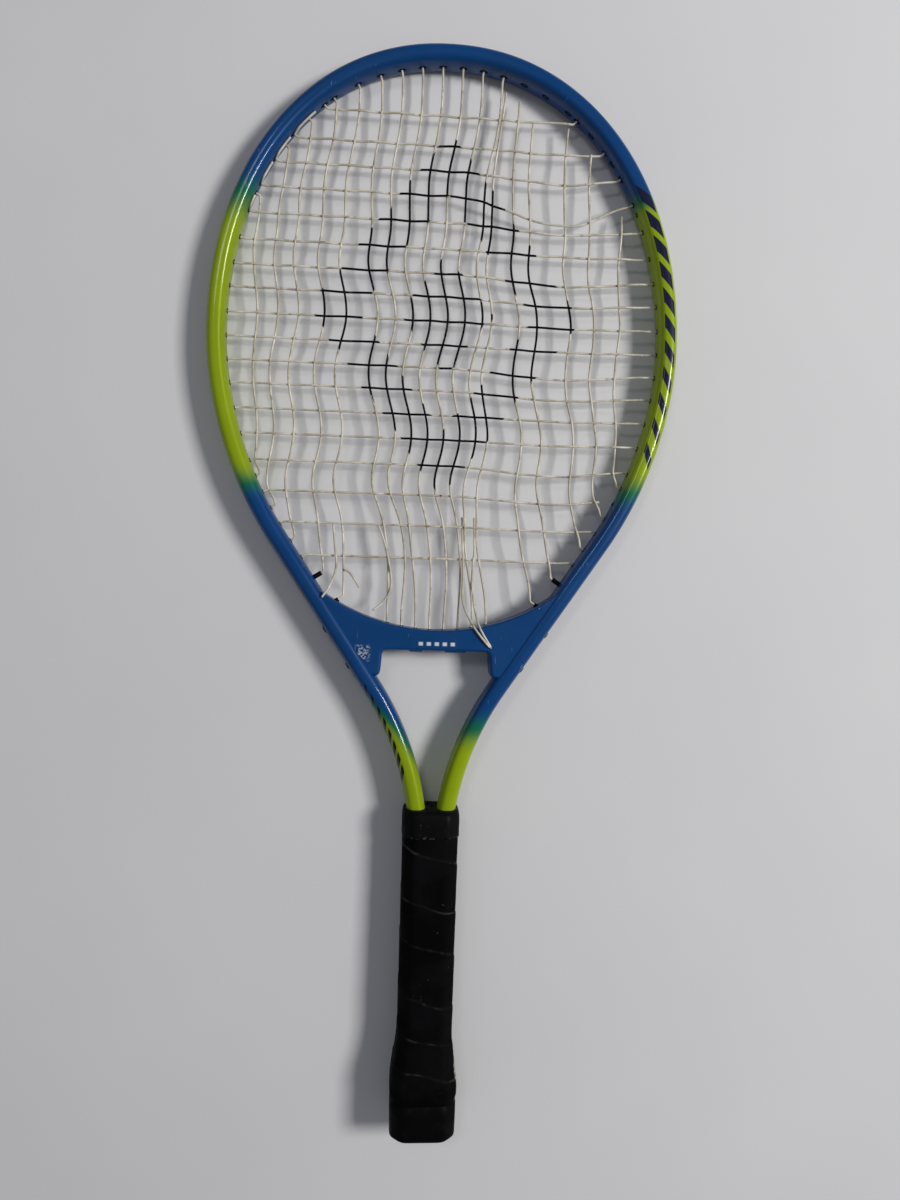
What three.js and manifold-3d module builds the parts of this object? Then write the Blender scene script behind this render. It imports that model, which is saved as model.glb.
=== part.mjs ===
// A full-size tennis racket: a hollow bent-tube frame with an outer string groove, a moulded throat
// bridge, grommet strips, a worn and partly broken string bed, and a wrapped handle with a butt cap.
//
// Lengths are in millimetres. While the pieces are drawn, y runs from the butt to the tip of the head,
// x is across the racket, and z is measured from the string plane. The last step brings the drawing
// to the racket's full length and moves it, so that its origin is below its middle, at the height of
// its lowest facet.

import * as THREE from 'three';
import { mergeVertices } from 'three/addons/utils/BufferGeometryUtils.js';
import Module from 'manifold-3d';

const wasm = await Module();
wasm.setup();

// ---------------------------------------------------------------- driving dimensions

const RACKET_LENGTH = 685;
const BUTT_Y = 10;
const TIP_Y = 685;
const DRAWING_SCALE = RACKET_LENGTH / (TIP_Y - BUTT_Y);

// Tube section: half sizes in the string plane and across it, wall, and the groove for the strings.
const TUBE_HALF_WIDTH = 5.8;
const TUBE_HALF_DEPTH = 9.5;
const TUBE_WALL = 1.3;
const GROOVE_HALF_WIDTH = 2.9;
const GROOVE_DEPTH = 2.7;
const GROOVE_FLOOR = TUBE_HALF_WIDTH - GROOVE_DEPTH;

// Centre line of the tube: an egg-shaped head, straight arms, a bend, and two parallel shafts.
const HEAD_HALF_WIDTH = 138.7;
const HEAD_WIDEST_Y = 507;
const HEAD_TOP_RISE = TIP_Y - TUBE_HALF_WIDTH - HEAD_WIDEST_Y;
const HEAD_LOWER_DROP = 189;
const HEAD_TOP_POWER = 2.12;
const HEAD_LOWER_POWER = 1.82;
const HEAD_LOWER_END = THREE.MathUtils.degToRad(42);
const BEND_RADIUS = 189;
const SHAFT_X = 7.3;
const SHAFT_END_Y = 24;

// Gap kept between touching pieces.
const GAP = 0.3;

// Strings and the holes, barrels and strips that carry them.
const STRING_RADIUS = 0.65;
const STRING_SIDES = 4;
const LAYER_HEIGHT = 1.0;
const LOOP_HEIGHT = 1.4;
const LOOP_RADIAL = 5.0;
const HOLE_HALF = 1.8;
const BARREL_HALF = 1.45;
const BORE_HALF = 0.95;
const BARREL_REACH = TUBE_HALF_WIDTH + 1.5;
const STRIP_BOTTOM = GROOVE_FLOOR + GAP;
const STRIP_TOP = STRIP_BOTTOM + 0.8;
const STRIP_HALF_WIDTH = 2.5;
const STRAND_START = BARREL_REACH + 1.3;

// Half of the main strings, from the middle outwards: where they meet the top of the head.
const MAIN_TOP_X = [6.1, 18.3, 30.5, 43, 56, 70, 84.5, 98, 114.5];
// The outer five of them meet the lower head and the throat at these heights.
const MAIN_BOTTOM_Y = { 9: 422.5, 8: 403.5, 7: 384, 6: 364, 5: 349 };
// The inner four go through the throat bridge.
const BRIDGE_RANK = 4;
const BRIDGE_HOLE_PITCH = 8.8;
// Two mains on each side use long throat barrels; their free parts start this far inwards.
const THROAT_REACH = { 5: 14.5, 6: 12.4 };
// Cross strings, from the tip downwards.
const CROSS_Y = [
  644, 626, 611, 596, 580, 564, 549, 535, 520, 505.5, 491.5, 477.5, 462.5, 447.5, 431.5, 413, 394, 374,
];
// How far each cross string sags on its slack, right-hand side.
const CROSS_SAG = [0, 1, 4, 17, 3.5, 1, 4, 3, 1, 1, 4, 3, 1, 1, 4, 3, 1, 0.5];
// Upper ends of the broken main strings on the right, from the middle outwards.
const FREE_TOPS = {
  13: [28.5, 660], 14: [42, 656], 15: [52, 643], 16: [74, 641], 17: [90, 626], 18: [110.5, 590],
};
const LAST_WHOLE_MAIN = 12;
// The sixteenth cross string has broken off at its right-hand end, here.
const BROKEN_CROSS = 16;
const BROKEN_CROSS_END_X = 100;

// The throat bridge.
const BRIDGE_HALF_DEPTH = 8.2;
const BRIDGE_TOP_Y = 329.8;
const BRIDGE_TOP_RADIUS = 126;
const BRIDGE_BOTTOM_Y = 317.2;
const BRIDGE_BOTTOM_HALF = 33;
const BRIDGE_HORN_X = 76;
const BRIDGE_FOOT_Y = 298;
const BRIDGE_BEVEL = 1.2;
const RIVET_Y = { upper: 331.5, lower: 310.4 };
const RIVET_DEPTH = { upper: 12.5, lower: 9 };
const RIVET_HEAD_HEIGHT = 0.9;
const RIVET_SHANK_RADIUS = 1.4;
const RIVET_HEAD_RADIUS = 2.3;

// The handle: half width and half depth of each octagon, and how far along the racket it reaches.
const SHELL = { halfWidth: 16.2, halfDepth: 14.2, bottom: 15, top: 211 };
const SHAFT_SLOT = { halfWidth: 14.9, halfDepth: 9.8, chamferSum: 21.8 };
const OCTAGON_CHAMFER = 6.7;
const CAP_FLOOR = 14;
const CAP_EDGE = 11.4;
const CAP_VISIBLE_TOP = 35.5;
const FLARE_TOP = 44;
const SKIRT_TOP = 57;
const WRAP_BLEND_TOP = 65;
const WRAP_TOP = 216;
const CAP_END = { halfWidth: 19.9, halfDepth: 16.9 };
const CAP_RIM = { halfWidth: 20.7, halfDepth: 17.7 };
const CAP_UNDER_WRAP = { halfWidth: 20.3, halfDepth: 17.3 };
const SKIRT_END = { halfWidth: 17.5, halfDepth: 15.2 };
const FLARE = { halfWidth: 21.6, halfDepth: 18.6 };
const WRAP = { halfWidth: 17.6, halfDepth: 15.6 };
const WRAP_UNDER_TAPE = { halfWidth: 17, halfDepth: 15 };
const WRAP_THICKNESS = 1.1;
const TAPE = { bottom: 202, top: 218.5, thickness: 0.55 };
const TACK_Y = 40;
const TACK_Z = 4;

// ---------------------------------------------------------------- small geometry helpers

// A closed body's faces point outwards when its signed volume is positive.
function facingOut(geometry) {
  const position = geometry.getAttribute('position');
  const index = geometry.getIndex().array;
  const a = new THREE.Vector3();
  const b = new THREE.Vector3();
  const c = new THREE.Vector3();
  let volume = 0;
  for (let i = 0; i < index.length; i += 3) {
    a.fromBufferAttribute(position, index[i]);
    b.fromBufferAttribute(position, index[i + 1]);
    c.fromBufferAttribute(position, index[i + 2]);
    volume += a.dot(b.cross(c));
  }
  if (volume < 0) {
    for (let i = 0; i < index.length; i += 3) {
      [index[i + 1], index[i + 2]] = [index[i + 2], index[i + 1]];
    }
  }
  return geometry;
}

function geometryFrom(points, triangles) {
  const geometry = new THREE.BufferGeometry();
  const numbers = points.flatMap((p) => [p.x, p.y, p.z]);
  geometry.setAttribute('position', new THREE.Float32BufferAttribute(numbers, 3));
  geometry.setIndex(triangles);
  return facingOut(geometry);
}

// Quads between each ring of points and the next one.
function skin(rings, offset, reversed) {
  const count = rings[0].length;
  const triangles = [];
  for (let i = 0; i + 1 < rings.length; i += 1) {
    for (let j = 0; j < count; j += 1) {
      const a = offset + i * count + j;
      const b = offset + i * count + (j + 1) % count;
      const quad = [a, b, a + count, b, b + count, a + count];
      triangles.push(...(reversed ? quad.reverse() : quad));
    }
  }
  return triangles;
}

// A solid through rings of points, closed by a fan at each end. The rings are convex.
function loft(rings) {
  const count = rings[0].length;
  const last = (rings.length - 1) * count;
  const triangles = skin(rings, 0, false);
  for (let j = 1; j + 1 < count; j += 1) {
    triangles.push(0, j + 1, j);
    triangles.push(last, last + j, last + j + 1);
  }
  return geometryFrom(rings.flat(), triangles);
}

// A tube open at both ends: outer rings, inner rings, and the two end faces between them.
function hollowLoft(outer, inner) {
  const count = outer[0].length;
  const offset = outer.length * count;
  const outerLast = (outer.length - 1) * count;
  const innerLast = offset + (inner.length - 1) * count;
  const triangles = [...skin(outer, 0, false), ...skin(inner, offset, true)];
  for (let j = 0; j < count; j += 1) {
    const k = (j + 1) % count;
    triangles.push(j, offset + j, k, k, offset + j, offset + k);
    triangles.push(outerLast + j, outerLast + k, innerLast + j);
    triangles.push(outerLast + k, innerLast + k, innerLast + j);
  }
  return geometryFrom([...outer.flat(), ...inner.flat()], triangles);
}

function toSolid(geometry) {
  const bare = geometry.clone();
  bare.deleteAttribute('normal');
  bare.deleteAttribute('uv');
  const merged = facingOut(mergeVertices(bare, 1e-4));
  const vertProperties = new Float32Array(merged.getAttribute('position').array);
  const triVerts = new Uint32Array(merged.getIndex().array);
  return new wasm.Manifold(new wasm.Mesh({ numProp: 3, vertProperties, triVerts }));
}

function toGeometry(solid) {
  const mesh = solid.getMesh();
  const geometry = new THREE.BufferGeometry();
  geometry.setAttribute('position', new THREE.BufferAttribute(mesh.vertProperties, 3));
  geometry.setIndex(new THREE.BufferAttribute(mesh.triVerts, 1));
  return geometry;
}

const cutAll = (geometry, cutters) => joinAll([geometry], cutters);

// The first list joined into one body, less the second list.
function joinAll(geometries, cutters) {
  let solid = toSolid(geometries[0]);
  for (const other of geometries.slice(1)) {
    solid = solid.add(toSolid(other));
  }
  for (const cutter of cutters) {
    solid = solid.subtract(toSolid(cutter));
  }
  return toGeometry(solid);
}

// A closed outline moved outwards by a distance (inwards when it is negative).
function offsetOutline(outline, distance) {
  const count = outline.length;
  const turn = Math.sign(THREE.ShapeUtils.area(outline));
  return outline.map((point, i) => {
    const before = point.clone().sub(outline[(i + count - 1) % count]).normalize();
    const after = outline[(i + 1) % count].clone().sub(point).normalize();
    const normalBefore = new THREE.Vector2(before.y, -before.x).multiplyScalar(turn);
    const normalAfter = new THREE.Vector2(after.y, -after.x).multiplyScalar(turn);
    const middle = normalBefore.clone().add(normalAfter).normalize();
    return point.clone().addScaledVector(middle, distance / middle.dot(normalAfter));
  });
}

// A ring of the handle's octagon, with its size grown by a margin.
function octagonRing(y, size, margin = 0) {
  const chamfer = OCTAGON_CHAMFER;
  const halfWidth = size.halfWidth + margin;
  const halfDepth = size.halfDepth + margin;
  const corners = [
    [halfWidth, halfDepth - chamfer], [halfWidth - chamfer, halfDepth],
    [chamfer - halfWidth, halfDepth], [-halfWidth, halfDepth - chamfer],
    [-halfWidth, chamfer - halfDepth], [chamfer - halfWidth, -halfDepth],
    [halfWidth - chamfer, -halfDepth], [halfWidth, chamfer - halfDepth],
  ];
  return corners.map(([x, z]) => new THREE.Vector3(x, y, z));
}

// ---------------------------------------------------------------- the frame's centre line

// The right-hand half of the centre line, from the tip to the end of the shaft.
function halfCentreLine() {
  const points = [];
  const topSteps = 13;
  for (let i = 0; i <= topSteps; i += 1) {
    const angle = (i / topSteps) * Math.PI / 2;
    const x = HEAD_HALF_WIDTH * Math.sin(angle) ** (2 / HEAD_TOP_POWER);
    const y = HEAD_WIDEST_Y + HEAD_TOP_RISE * Math.max(0, Math.cos(angle)) ** (2 / HEAD_TOP_POWER);
    points.push(new THREE.Vector2(x, y));
  }
  const lowerSteps = 7;
  for (let i = 1; i <= lowerSteps; i += 1) {
    const angle = (i / lowerSteps) * HEAD_LOWER_END;
    const x = HEAD_HALF_WIDTH * Math.cos(angle) ** (2 / HEAD_LOWER_POWER);
    const y = HEAD_WIDEST_Y - HEAD_LOWER_DROP * Math.sin(angle) ** (2 / HEAD_LOWER_POWER);
    points.push(new THREE.Vector2(x, y));
  }
  const armTop = points[points.length - 1];
  const bendSteps = 5;
  for (let i = 0; i <= bendSteps; i += 1) {
    const angle = ARM_ANGLE * (1 - i / bendSteps);
    const x = SHAFT_X + BEND_RADIUS * (1 - Math.cos(angle));
    const y = bendBottomY(armTop) + BEND_RADIUS * Math.sin(angle);
    points.push(new THREE.Vector2(x, y));
  }
  points.push(new THREE.Vector2(SHAFT_X, SHAFT_END_Y));
  return points;
}

// The arms' angle to the racket's axis is the head's own direction where the arms leave it.
const ARM_ANGLE = Math.atan(
  (HEAD_HALF_WIDTH / HEAD_LOWER_DROP) * Math.tan(HEAD_LOWER_END) ** (2 - 2 / HEAD_LOWER_POWER),
);

// The height at which the bend runs out into the straight shaft, from where the arm starts.
function bendBottomY(armTop) {
  const acrossBend = BEND_RADIUS * (1 - Math.cos(ARM_ANGLE));
  const alongArm = (armTop.x - SHAFT_X - acrossBend) / Math.sin(ARM_ANGLE);
  return armTop.y - BEND_RADIUS * Math.sin(ARM_ANGLE) - alongArm * Math.cos(ARM_ANGLE);
}

// The whole centre line runs from the left shaft over the tip to the right shaft.
const rightHalf = halfCentreLine();
const leftHalf = rightHalf.slice(1).reverse().map((p) => new THREE.Vector2(-p.x, p.y));
const centreLine = [...leftHalf, ...rightHalf];

function outwardAt(i) {
  const before = centreLine[Math.max(0, i - 1)];
  const after = centreLine[Math.min(centreLine.length - 1, i + 1)];
  return new THREE.Vector2(before.y - after.y, after.x - before.x).normalize();
}

const outwards = centreLine.map((_, i) => outwardAt(i));
// A ring on a corner's bisector is stretched by this much, so that the tube keeps its width.
const stretches = centreLine.map((point, i) => {
  if (i === 0 || i === centreLine.length - 1) {
    return 1;
  }
  const edge = centreLine[i + 1].clone().sub(point).normalize();
  return 1 / Math.abs(new THREE.Vector2(-edge.y, edge.x).dot(outwards[i]));
});

// A point of the frame: how far outwards from the centre line, and the height above the string plane.
function framePoint(i, outward, height) {
  const p = centreLine[i].clone().addScaledVector(outwards[i], outward * stretches[i]);
  return new THREE.Vector3(p.x, p.y, height);
}

const frameRings = (profile, first = 0, last = centreLine.length - 1) =>
  Array.from({ length: last - first + 1 }, (_, k) => profile.map((q) => framePoint(first + k, q.x, q.y)));

// A station is a place on the centre line, with the outward and the along-the-frame directions.
function stationOn(segment, t) {
  const a = centreLine[segment];
  const b = centreLine[segment + 1];
  const along = b.clone().sub(a).normalize();
  const outward = new THREE.Vector2(-along.y, along.x);
  return { at: a.clone().lerp(b, t), along, outward, segment, order: segment + t };
}

function pointAt(station, outward, height, along = 0) {
  const p = station.at.clone();
  p.addScaledVector(station.outward, outward).addScaledVector(station.along, along);
  return new THREE.Vector3(p.x, p.y, height);
}

// The station on one side (-1 left, 1 right) whose strand starts at a given x or y.
function findStation(axis, value, side, reach, upper) {
  for (let i = 0; i + 1 < centreLine.length; i += 1) {
    const middle = centreLine[i].clone().add(centreLine[i + 1]).multiplyScalar(0.5);
    const onSide = Math.sign(middle.x) === side;
    const inHead = upper ? middle.y > HEAD_WIDEST_Y : middle.y > BRIDGE_FOOT_Y;
    if (!onSide || !inHead) {
      continue;
    }
    const start = pointAt(stationOn(i, 0), -reach, 0)[axis] - value;
    const end = pointAt(stationOn(i, 1), -reach, 0)[axis] - value;
    if (start === 0 || Math.sign(start) !== Math.sign(end)) {
      return stationOn(i, start / (start - end));
    }
  }
  throw new Error(`no place on the frame for ${axis} = ${value}`);
}

// ---------------------------------------------------------------- where the strings go

const MAIN_COUNT = 2 * MAIN_TOP_X.length;
const CROSS_COUNT = CROSS_Y.length;

// Main strings are numbered from 1 on the left; a rank counts outwards from the middle. Ranks up to
// BRIDGE_RANK go through the bridge, the next two through the long throat barrels, and the rest
// through the frame alone.
const mainSide = (k) => (k <= MAIN_COUNT / 2 ? -1 : 1);
const mainRank = (k) => (k <= MAIN_COUNT / 2 ? MAIN_COUNT / 2 + 1 - k : k - MAIN_COUNT / 2);
const throughBridge = (k) => mainRank(k) <= BRIDGE_RANK;
const throughThroat = (k) => !throughBridge(k) && mainRank(k) in THROAT_REACH;

// How far inwards from the centre line a main's free part starts, at the bottom.
const mainReach = (rank) => THROAT_REACH[rank] ?? STRAND_START;

const mainTopStations = {};
const mainBottomStations = {};
for (let k = 1; k <= MAIN_COUNT; k += 1) {
  const rank = mainRank(k);
  const topX = mainSide(k) * MAIN_TOP_X[rank - 1];
  mainTopStations[k] = findStation('x', topX, mainSide(k), STRAND_START, true);
  if (!throughBridge(k)) {
    mainBottomStations[k] = findStation('y', MAIN_BOTTOM_Y[rank], mainSide(k), mainReach(rank), false);
  }
}
const crossStations = CROSS_Y.map((y) => ({
  left: findStation('y', y, -1, STRAND_START, y > HEAD_WIDEST_Y),
  right: findStation('y', y, 1, STRAND_START, y > HEAD_WIDEST_Y),
}));

const bridgeHoleX = (k) => mainSide(k) * BRIDGE_HOLE_PITCH * (mainRank(k) - 0.5);
const bridgeTopAt = (x) => BRIDGE_TOP_Y + BRIDGE_TOP_RADIUS - Math.sqrt(BRIDGE_TOP_RADIUS ** 2 - x ** 2);

// ---------------------------------------------------------------- frame tube

// The tube's section: x is outwards in the string plane, y is across it.
function tubeProfile() {
  const corner = [
    [TUBE_HALF_WIDTH - 0.9, 7.2], [2.4, TUBE_HALF_DEPTH],
    [-2.4, TUBE_HALF_DEPTH], [0.9 - TUBE_HALF_WIDTH, 7.2], [-TUBE_HALF_WIDTH, 4],
  ];
  const upper = [[GROOVE_FLOOR, GROOVE_HALF_WIDTH], [TUBE_HALF_WIDTH, GROOVE_HALF_WIDTH], ...corner];
  const lower = upper.slice().reverse().map(([x, y]) => [x, -y]);
  return [...upper, ...lower].map(([x, y]) => new THREE.Vector2(x, y));
}

// The same section without its groove, used to clear a space around the tube.
function plainProfile() {
  return tubeProfile().filter((p) => !(p.x > 0 && Math.abs(p.y) <= GROOVE_HALF_WIDTH));
}

// A box that lies across the tube at a station, from one outward distance to another.
function crossBox(station, from, to, halfAlong, halfHeight) {
  const corners = [[-1, -1], [1, -1], [1, 1], [-1, 1]];
  const ring = (outward) => corners.map(([a, h]) => pointAt(station, outward, h * halfHeight, a * halfAlong));
  return loft([ring(from), ring(to)]);
}

function allFrameStations() {
  const crosses = crossStations.flatMap(({ left, right }) => [left, right]);
  return [...Object.values(mainTopStations), ...Object.values(mainBottomStations), ...crosses];
}

// Where a rivet stands on an arm.
const rivetStation = (side, level) => findStation('y', RIVET_Y[level], side, 0, false);
const rivetPlaces = [-1, 1].flatMap((side) => ['upper', 'lower'].map((level) => ({ side, level })));

function frameTube() {
  const outer = tubeProfile();
  const tube = hollowLoft(frameRings(outer), frameRings(offsetOutline(outer, -TUBE_WALL)));
  const beyond = TUBE_HALF_WIDTH + 1;
  const holes = allFrameStations().map((s) => crossBox(s, -beyond, beyond, HOLE_HALF, HOLE_HALF));
  const rivetHoles = rivetPlaces.map(({ side, level }) =>
    crossBox(rivetStation(side, level), -beyond, beyond, HOLE_HALF, HOLE_HALF));
  return cutAll(tube, [...holes, ...rivetHoles]);
}

// ---------------------------------------------------------------- throat bridge and its rivets

// The centre line's x on the arms at a given height.
function armX(y) {
  const station = findStation('y', y, 1, 0, false);
  return station.at.x;
}

function bridgeOutline() {
  const shape = new THREE.Shape();
  const centreY = BRIDGE_TOP_Y + BRIDGE_TOP_RADIUS;
  const hornAngle = Math.asin(BRIDGE_HORN_X / BRIDGE_TOP_RADIUS);
  shape.moveTo(-BRIDGE_BOTTOM_HALF, BRIDGE_BOTTOM_Y);
  shape.lineTo(BRIDGE_BOTTOM_HALF, BRIDGE_BOTTOM_Y);
  const footX = armX(BRIDGE_FOOT_Y) - 5;
  shape.quadraticCurveTo(BRIDGE_BOTTOM_HALF + 2.5, BRIDGE_BOTTOM_Y - 8, footX, BRIDGE_FOOT_Y);
  shape.lineTo(armX(BRIDGE_FOOT_Y), BRIDGE_FOOT_Y);
  const hornY = centreY - BRIDGE_TOP_RADIUS * Math.cos(hornAngle);
  shape.lineTo(armX(hornY), hornY);
  shape.absarc(0, centreY, BRIDGE_TOP_RADIUS, hornAngle - Math.PI / 2, -hornAngle - Math.PI / 2, true);
  shape.lineTo(-armX(hornY), hornY);
  shape.lineTo(-armX(BRIDGE_FOOT_Y), BRIDGE_FOOT_Y);
  shape.lineTo(5 - armX(BRIDGE_FOOT_Y), BRIDGE_FOOT_Y);
  shape.quadraticCurveTo(-BRIDGE_BOTTOM_HALF - 2.5, BRIDGE_BOTTOM_Y - 8, -BRIDGE_BOTTOM_HALF, BRIDGE_BOTTOM_Y);
  return shape;
}

function uprightBox(x, y0, y1, halfX, halfZ) {
  return new THREE.BoxGeometry(2 * halfX, y1 - y0, 2 * halfZ).translate(x, (y0 + y1) / 2, 0);
}

function throatBridge() {
  const settings = {
    depth: 2 * (BRIDGE_HALF_DEPTH - BRIDGE_BEVEL),
    bevelThickness: BRIDGE_BEVEL,
    bevelSize: BRIDGE_BEVEL,
    bevelOffset: -BRIDGE_BEVEL,
    bevelSegments: 1,
    curveSegments: 7,
  };
  const body = new THREE.ExtrudeGeometry(bridgeOutline(), settings);
  body.translate(0, 0, BRIDGE_BEVEL - BRIDGE_HALF_DEPTH);
  const around = loft(frameRings(offsetOutline(plainProfile(), GAP)));
  const grooveTop = BRIDGE_BOTTOM_Y + GROOVE_DEPTH;
  const grooveBox = uprightBox(0, BRIDGE_BOTTOM_Y - 1, grooveTop, BRIDGE_BOTTOM_HALF, GROOVE_HALF_WIDTH);
  const throughHorn = 20;
  const cutters = [around, grooveBox];
  for (let k = 1; k <= MAIN_COUNT; k += 1) {
    if (throughBridge(k)) {
      cutters.push(uprightBox(bridgeHoleX(k), BRIDGE_BOTTOM_Y, BRIDGE_TOP_Y + 10, HOLE_HALF, HOLE_HALF));
    } else if (throughThroat(k)) {
      cutters.push(crossBox(mainBottomStations[k], -throughHorn, 0, HOLE_HALF, HOLE_HALF));
    }
  }
  for (const { side, level } of rivetPlaces) {
    cutters.push(crossBox(rivetStation(side, level), -RIVET_DEPTH[level] - 2, 0, HOLE_HALF, HOLE_HALF));
  }
  return cutAll(body, cutters);
}

// A rivet's profile turns about its own axis; its head stands in the groove.
function rivet(side, level) {
  const shankEnd = -RIVET_DEPTH[level];
  const headBottom = STRIP_BOTTOM;
  const headTop = TUBE_HALF_WIDTH + RIVET_HEAD_HEIGHT;
  const profile = [
    [0, shankEnd], [RIVET_SHANK_RADIUS, shankEnd], [RIVET_SHANK_RADIUS, headBottom],
    [RIVET_HEAD_RADIUS, headBottom], [RIVET_HEAD_RADIUS, headTop - 0.6], [RIVET_HEAD_RADIUS - 0.8, headTop],
    [0, headTop],
  ].map(([r, h]) => new THREE.Vector2(r, h));
  const geometry = new THREE.LatheGeometry(profile, 8);
  const station = rivetStation(side, level);
  const axis = new THREE.Vector3(station.outward.x, station.outward.y, 0);
  const turn = new THREE.Quaternion().setFromUnitVectors(new THREE.Vector3(0, 1, 0), axis);
  geometry.applyQuaternion(turn).translate(station.at.x, station.at.y, 0);
  return toGeometry(toSolid(geometry));
}

// ---------------------------------------------------------------- grommet strips

const stripProfile = [
  [STRIP_BOTTOM, -STRIP_HALF_WIDTH], [STRIP_TOP, -STRIP_HALF_WIDTH],
  [STRIP_TOP, STRIP_HALF_WIDTH], [STRIP_BOTTOM, STRIP_HALF_WIDTH],
].map(([x, y]) => new THREE.Vector2(x, y));

// A strip in the frame's groove, with a barrel through the tube for each of its stations.
function grommetStrip(stations, reachOf) {
  const ordered = stations.slice().sort((a, b) => a.order - b.order);
  const first = ordered[0];
  const last = ordered[ordered.length - 1];
  const endMargin = 3.4;
  const startRing = stripProfile.map((q) => pointAt(first, q.x, q.y, -endMargin));
  const endRing = stripProfile.map((q) => pointAt(last, q.x, q.y, endMargin));
  const middle = [];
  for (let i = first.segment + 1; i <= last.segment; i += 1) {
    middle.push(stripProfile.map((q) => framePoint(i, q.x, q.y)));
  }
  const strip = loft([startRing, ...middle, endRing]);
  const inStrip = (STRIP_BOTTOM + STRIP_TOP) / 2;
  const barrels = ordered.map((s) => crossBox(s, -reachOf(s), inStrip, BARREL_HALF, BARREL_HALF));
  const bores = ordered.map((s) => crossBox(s, -reachOf(s) - 1, STRIP_TOP + 1, BORE_HALF, BORE_HALF));
  return joinAll([strip, ...barrels], bores);
}

const ordinaryReach = () => BARREL_REACH;

// The head strip covers the first three cross strings and every main string but the outermost two.
const HEAD_STRIP_CROSSES = 3;
const EDGE_RANK = MAIN_COUNT / 2;

function headStrip() {
  const crosses = crossStations.slice(0, HEAD_STRIP_CROSSES).flatMap(({ left, right }) => [left, right]);
  const inner = Object.entries(mainTopStations).filter(([k]) => mainRank(Number(k)) < EDGE_RANK);
  const mains = inner.map(([, station]) => station);
  return grommetStrip([...crosses, ...mains], ordinaryReach);
}

function sideStrip(side) {
  const name = side < 0 ? 'left' : 'right';
  const crosses = crossStations.slice(HEAD_STRIP_CROSSES).map((pair) => pair[name]);
  const edgeMain = side < 0 ? 1 : MAIN_COUNT;
  const lowerMains = Object.entries(mainBottomStations)
    .filter(([k]) => mainSide(Number(k)) === side && !throughThroat(Number(k)))
    .map(([, s]) => s);
  return grommetStrip([...crosses, mainTopStations[edgeMain], ...lowerMains], ordinaryReach);
}

// The throat grommets have two long barrels; one goes through the bridge's horn.
function throatGrommet(side) {
  const entries = Object.entries(mainBottomStations)
    .filter(([k]) => mainSide(Number(k)) === side && throughThroat(Number(k)));
  const shorter = STRAND_START - BARREL_REACH;
  const reaches = new Map(entries.map(([k, s]) => [s, mainReach(mainRank(Number(k))) - shorter]));
  return grommetStrip(entries.map(([, s]) => s), (s) => reaches.get(s));
}

function bridgeStrip() {
  const y0 = BRIDGE_BOTTOM_Y + GROOVE_DEPTH - GAP;
  const y1 = y0 - (STRIP_TOP - STRIP_BOTTOM);
  const strip = uprightBox(0, y1, y0, BRIDGE_BOTTOM_HALF - 0.6, STRIP_HALF_WIDTH);
  const barrels = [];
  const bores = [];
  for (let k = 1; k <= MAIN_COUNT; k += 1) {
    if (throughBridge(k)) {
      const x = bridgeHoleX(k);
      barrels.push(uprightBox(x, (y0 + y1) / 2, bridgeTopAt(x) + 1.3, BARREL_HALF, BARREL_HALF));
      bores.push(uprightBox(x, y1 - 1, bridgeTopAt(x) + 2, BORE_HALF, BORE_HALF));
    }
  }
  return joinAll([strip, ...barrels], bores);
}

// ---------------------------------------------------------------- strings

const smooth = (a, b, v) => THREE.MathUtils.smoothstep(v, a, b);

// The worn mains stand over to the left in the middle of the bed, in slow waves.
const MAIN_LEAN = 7;
const WAVE_HEIGHT = 3;
const WAVE_LENGTH = 72;
const WAVE_PEAK_Y = 522;

function mainShift(x, y) {
  const edge = 1 - (Math.abs(x) / 130) ** 4;
  const lean = -MAIN_LEAN * (1 - smooth(600, 668, y)) * smooth(345, 430, y);
  const wave = WAVE_HEIGHT * Math.cos(2 * Math.PI * (y - WAVE_PEAK_Y) / WAVE_LENGTH);
  const waved = wave * smooth(385, 430, y) * (1 - smooth(545, 590, y));
  return edge * (lean + waved);
}

// A cross string hangs down on the right, lowest at SAG_CENTRE_X.
const SAG_CENTRE_X = 78;
const SAG_HALF_WIDTH = 62;

function crossSag(row, x, endX) {
  const rise = smooth(SAG_CENTRE_X - SAG_HALF_WIDTH, SAG_CENTRE_X, x);
  const fall = 1 - smooth(SAG_CENTRE_X + 8, Math.max(endX, SAG_CENTRE_X + 12), x);
  return -CROSS_SAG[row] * rise * fall;
}

// A tube of small radius through points that turn sharply, with each ring on its corner's bisector.
function rope(points) {
  const rings = [];
  const normal = new THREE.Vector3(0, 0, 1);
  const quarter = 2 * Math.PI / STRING_SIDES;
  points.forEach((point, i) => {
    const before = points[Math.max(0, i - 1)];
    const after = points[Math.min(points.length - 1, i + 1)];
    const into = (i === 0 ? after.clone().sub(point) : point.clone().sub(before)).normalize();
    const out = (i === points.length - 1 ? into.clone() : after.clone().sub(point)).normalize();
    const tangent = into.clone().add(out).normalize();
    const side = new THREE.Vector3().crossVectors(tangent, normal).normalize();
    const up = new THREE.Vector3().crossVectors(side, tangent);
    const ring = [];
    for (let j = 0; j < STRING_SIDES; j += 1) {
      const angle = quarter * j;
      ring.push(point.clone()
        .addScaledVector(side, STRING_RADIUS * Math.cos(angle))
        .addScaledVector(up, STRING_RADIUS * Math.sin(angle)));
    }
    rings.push(ring);
  });
  return loft(rings);
}

const STRAND_MARGIN = 2.2;

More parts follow.
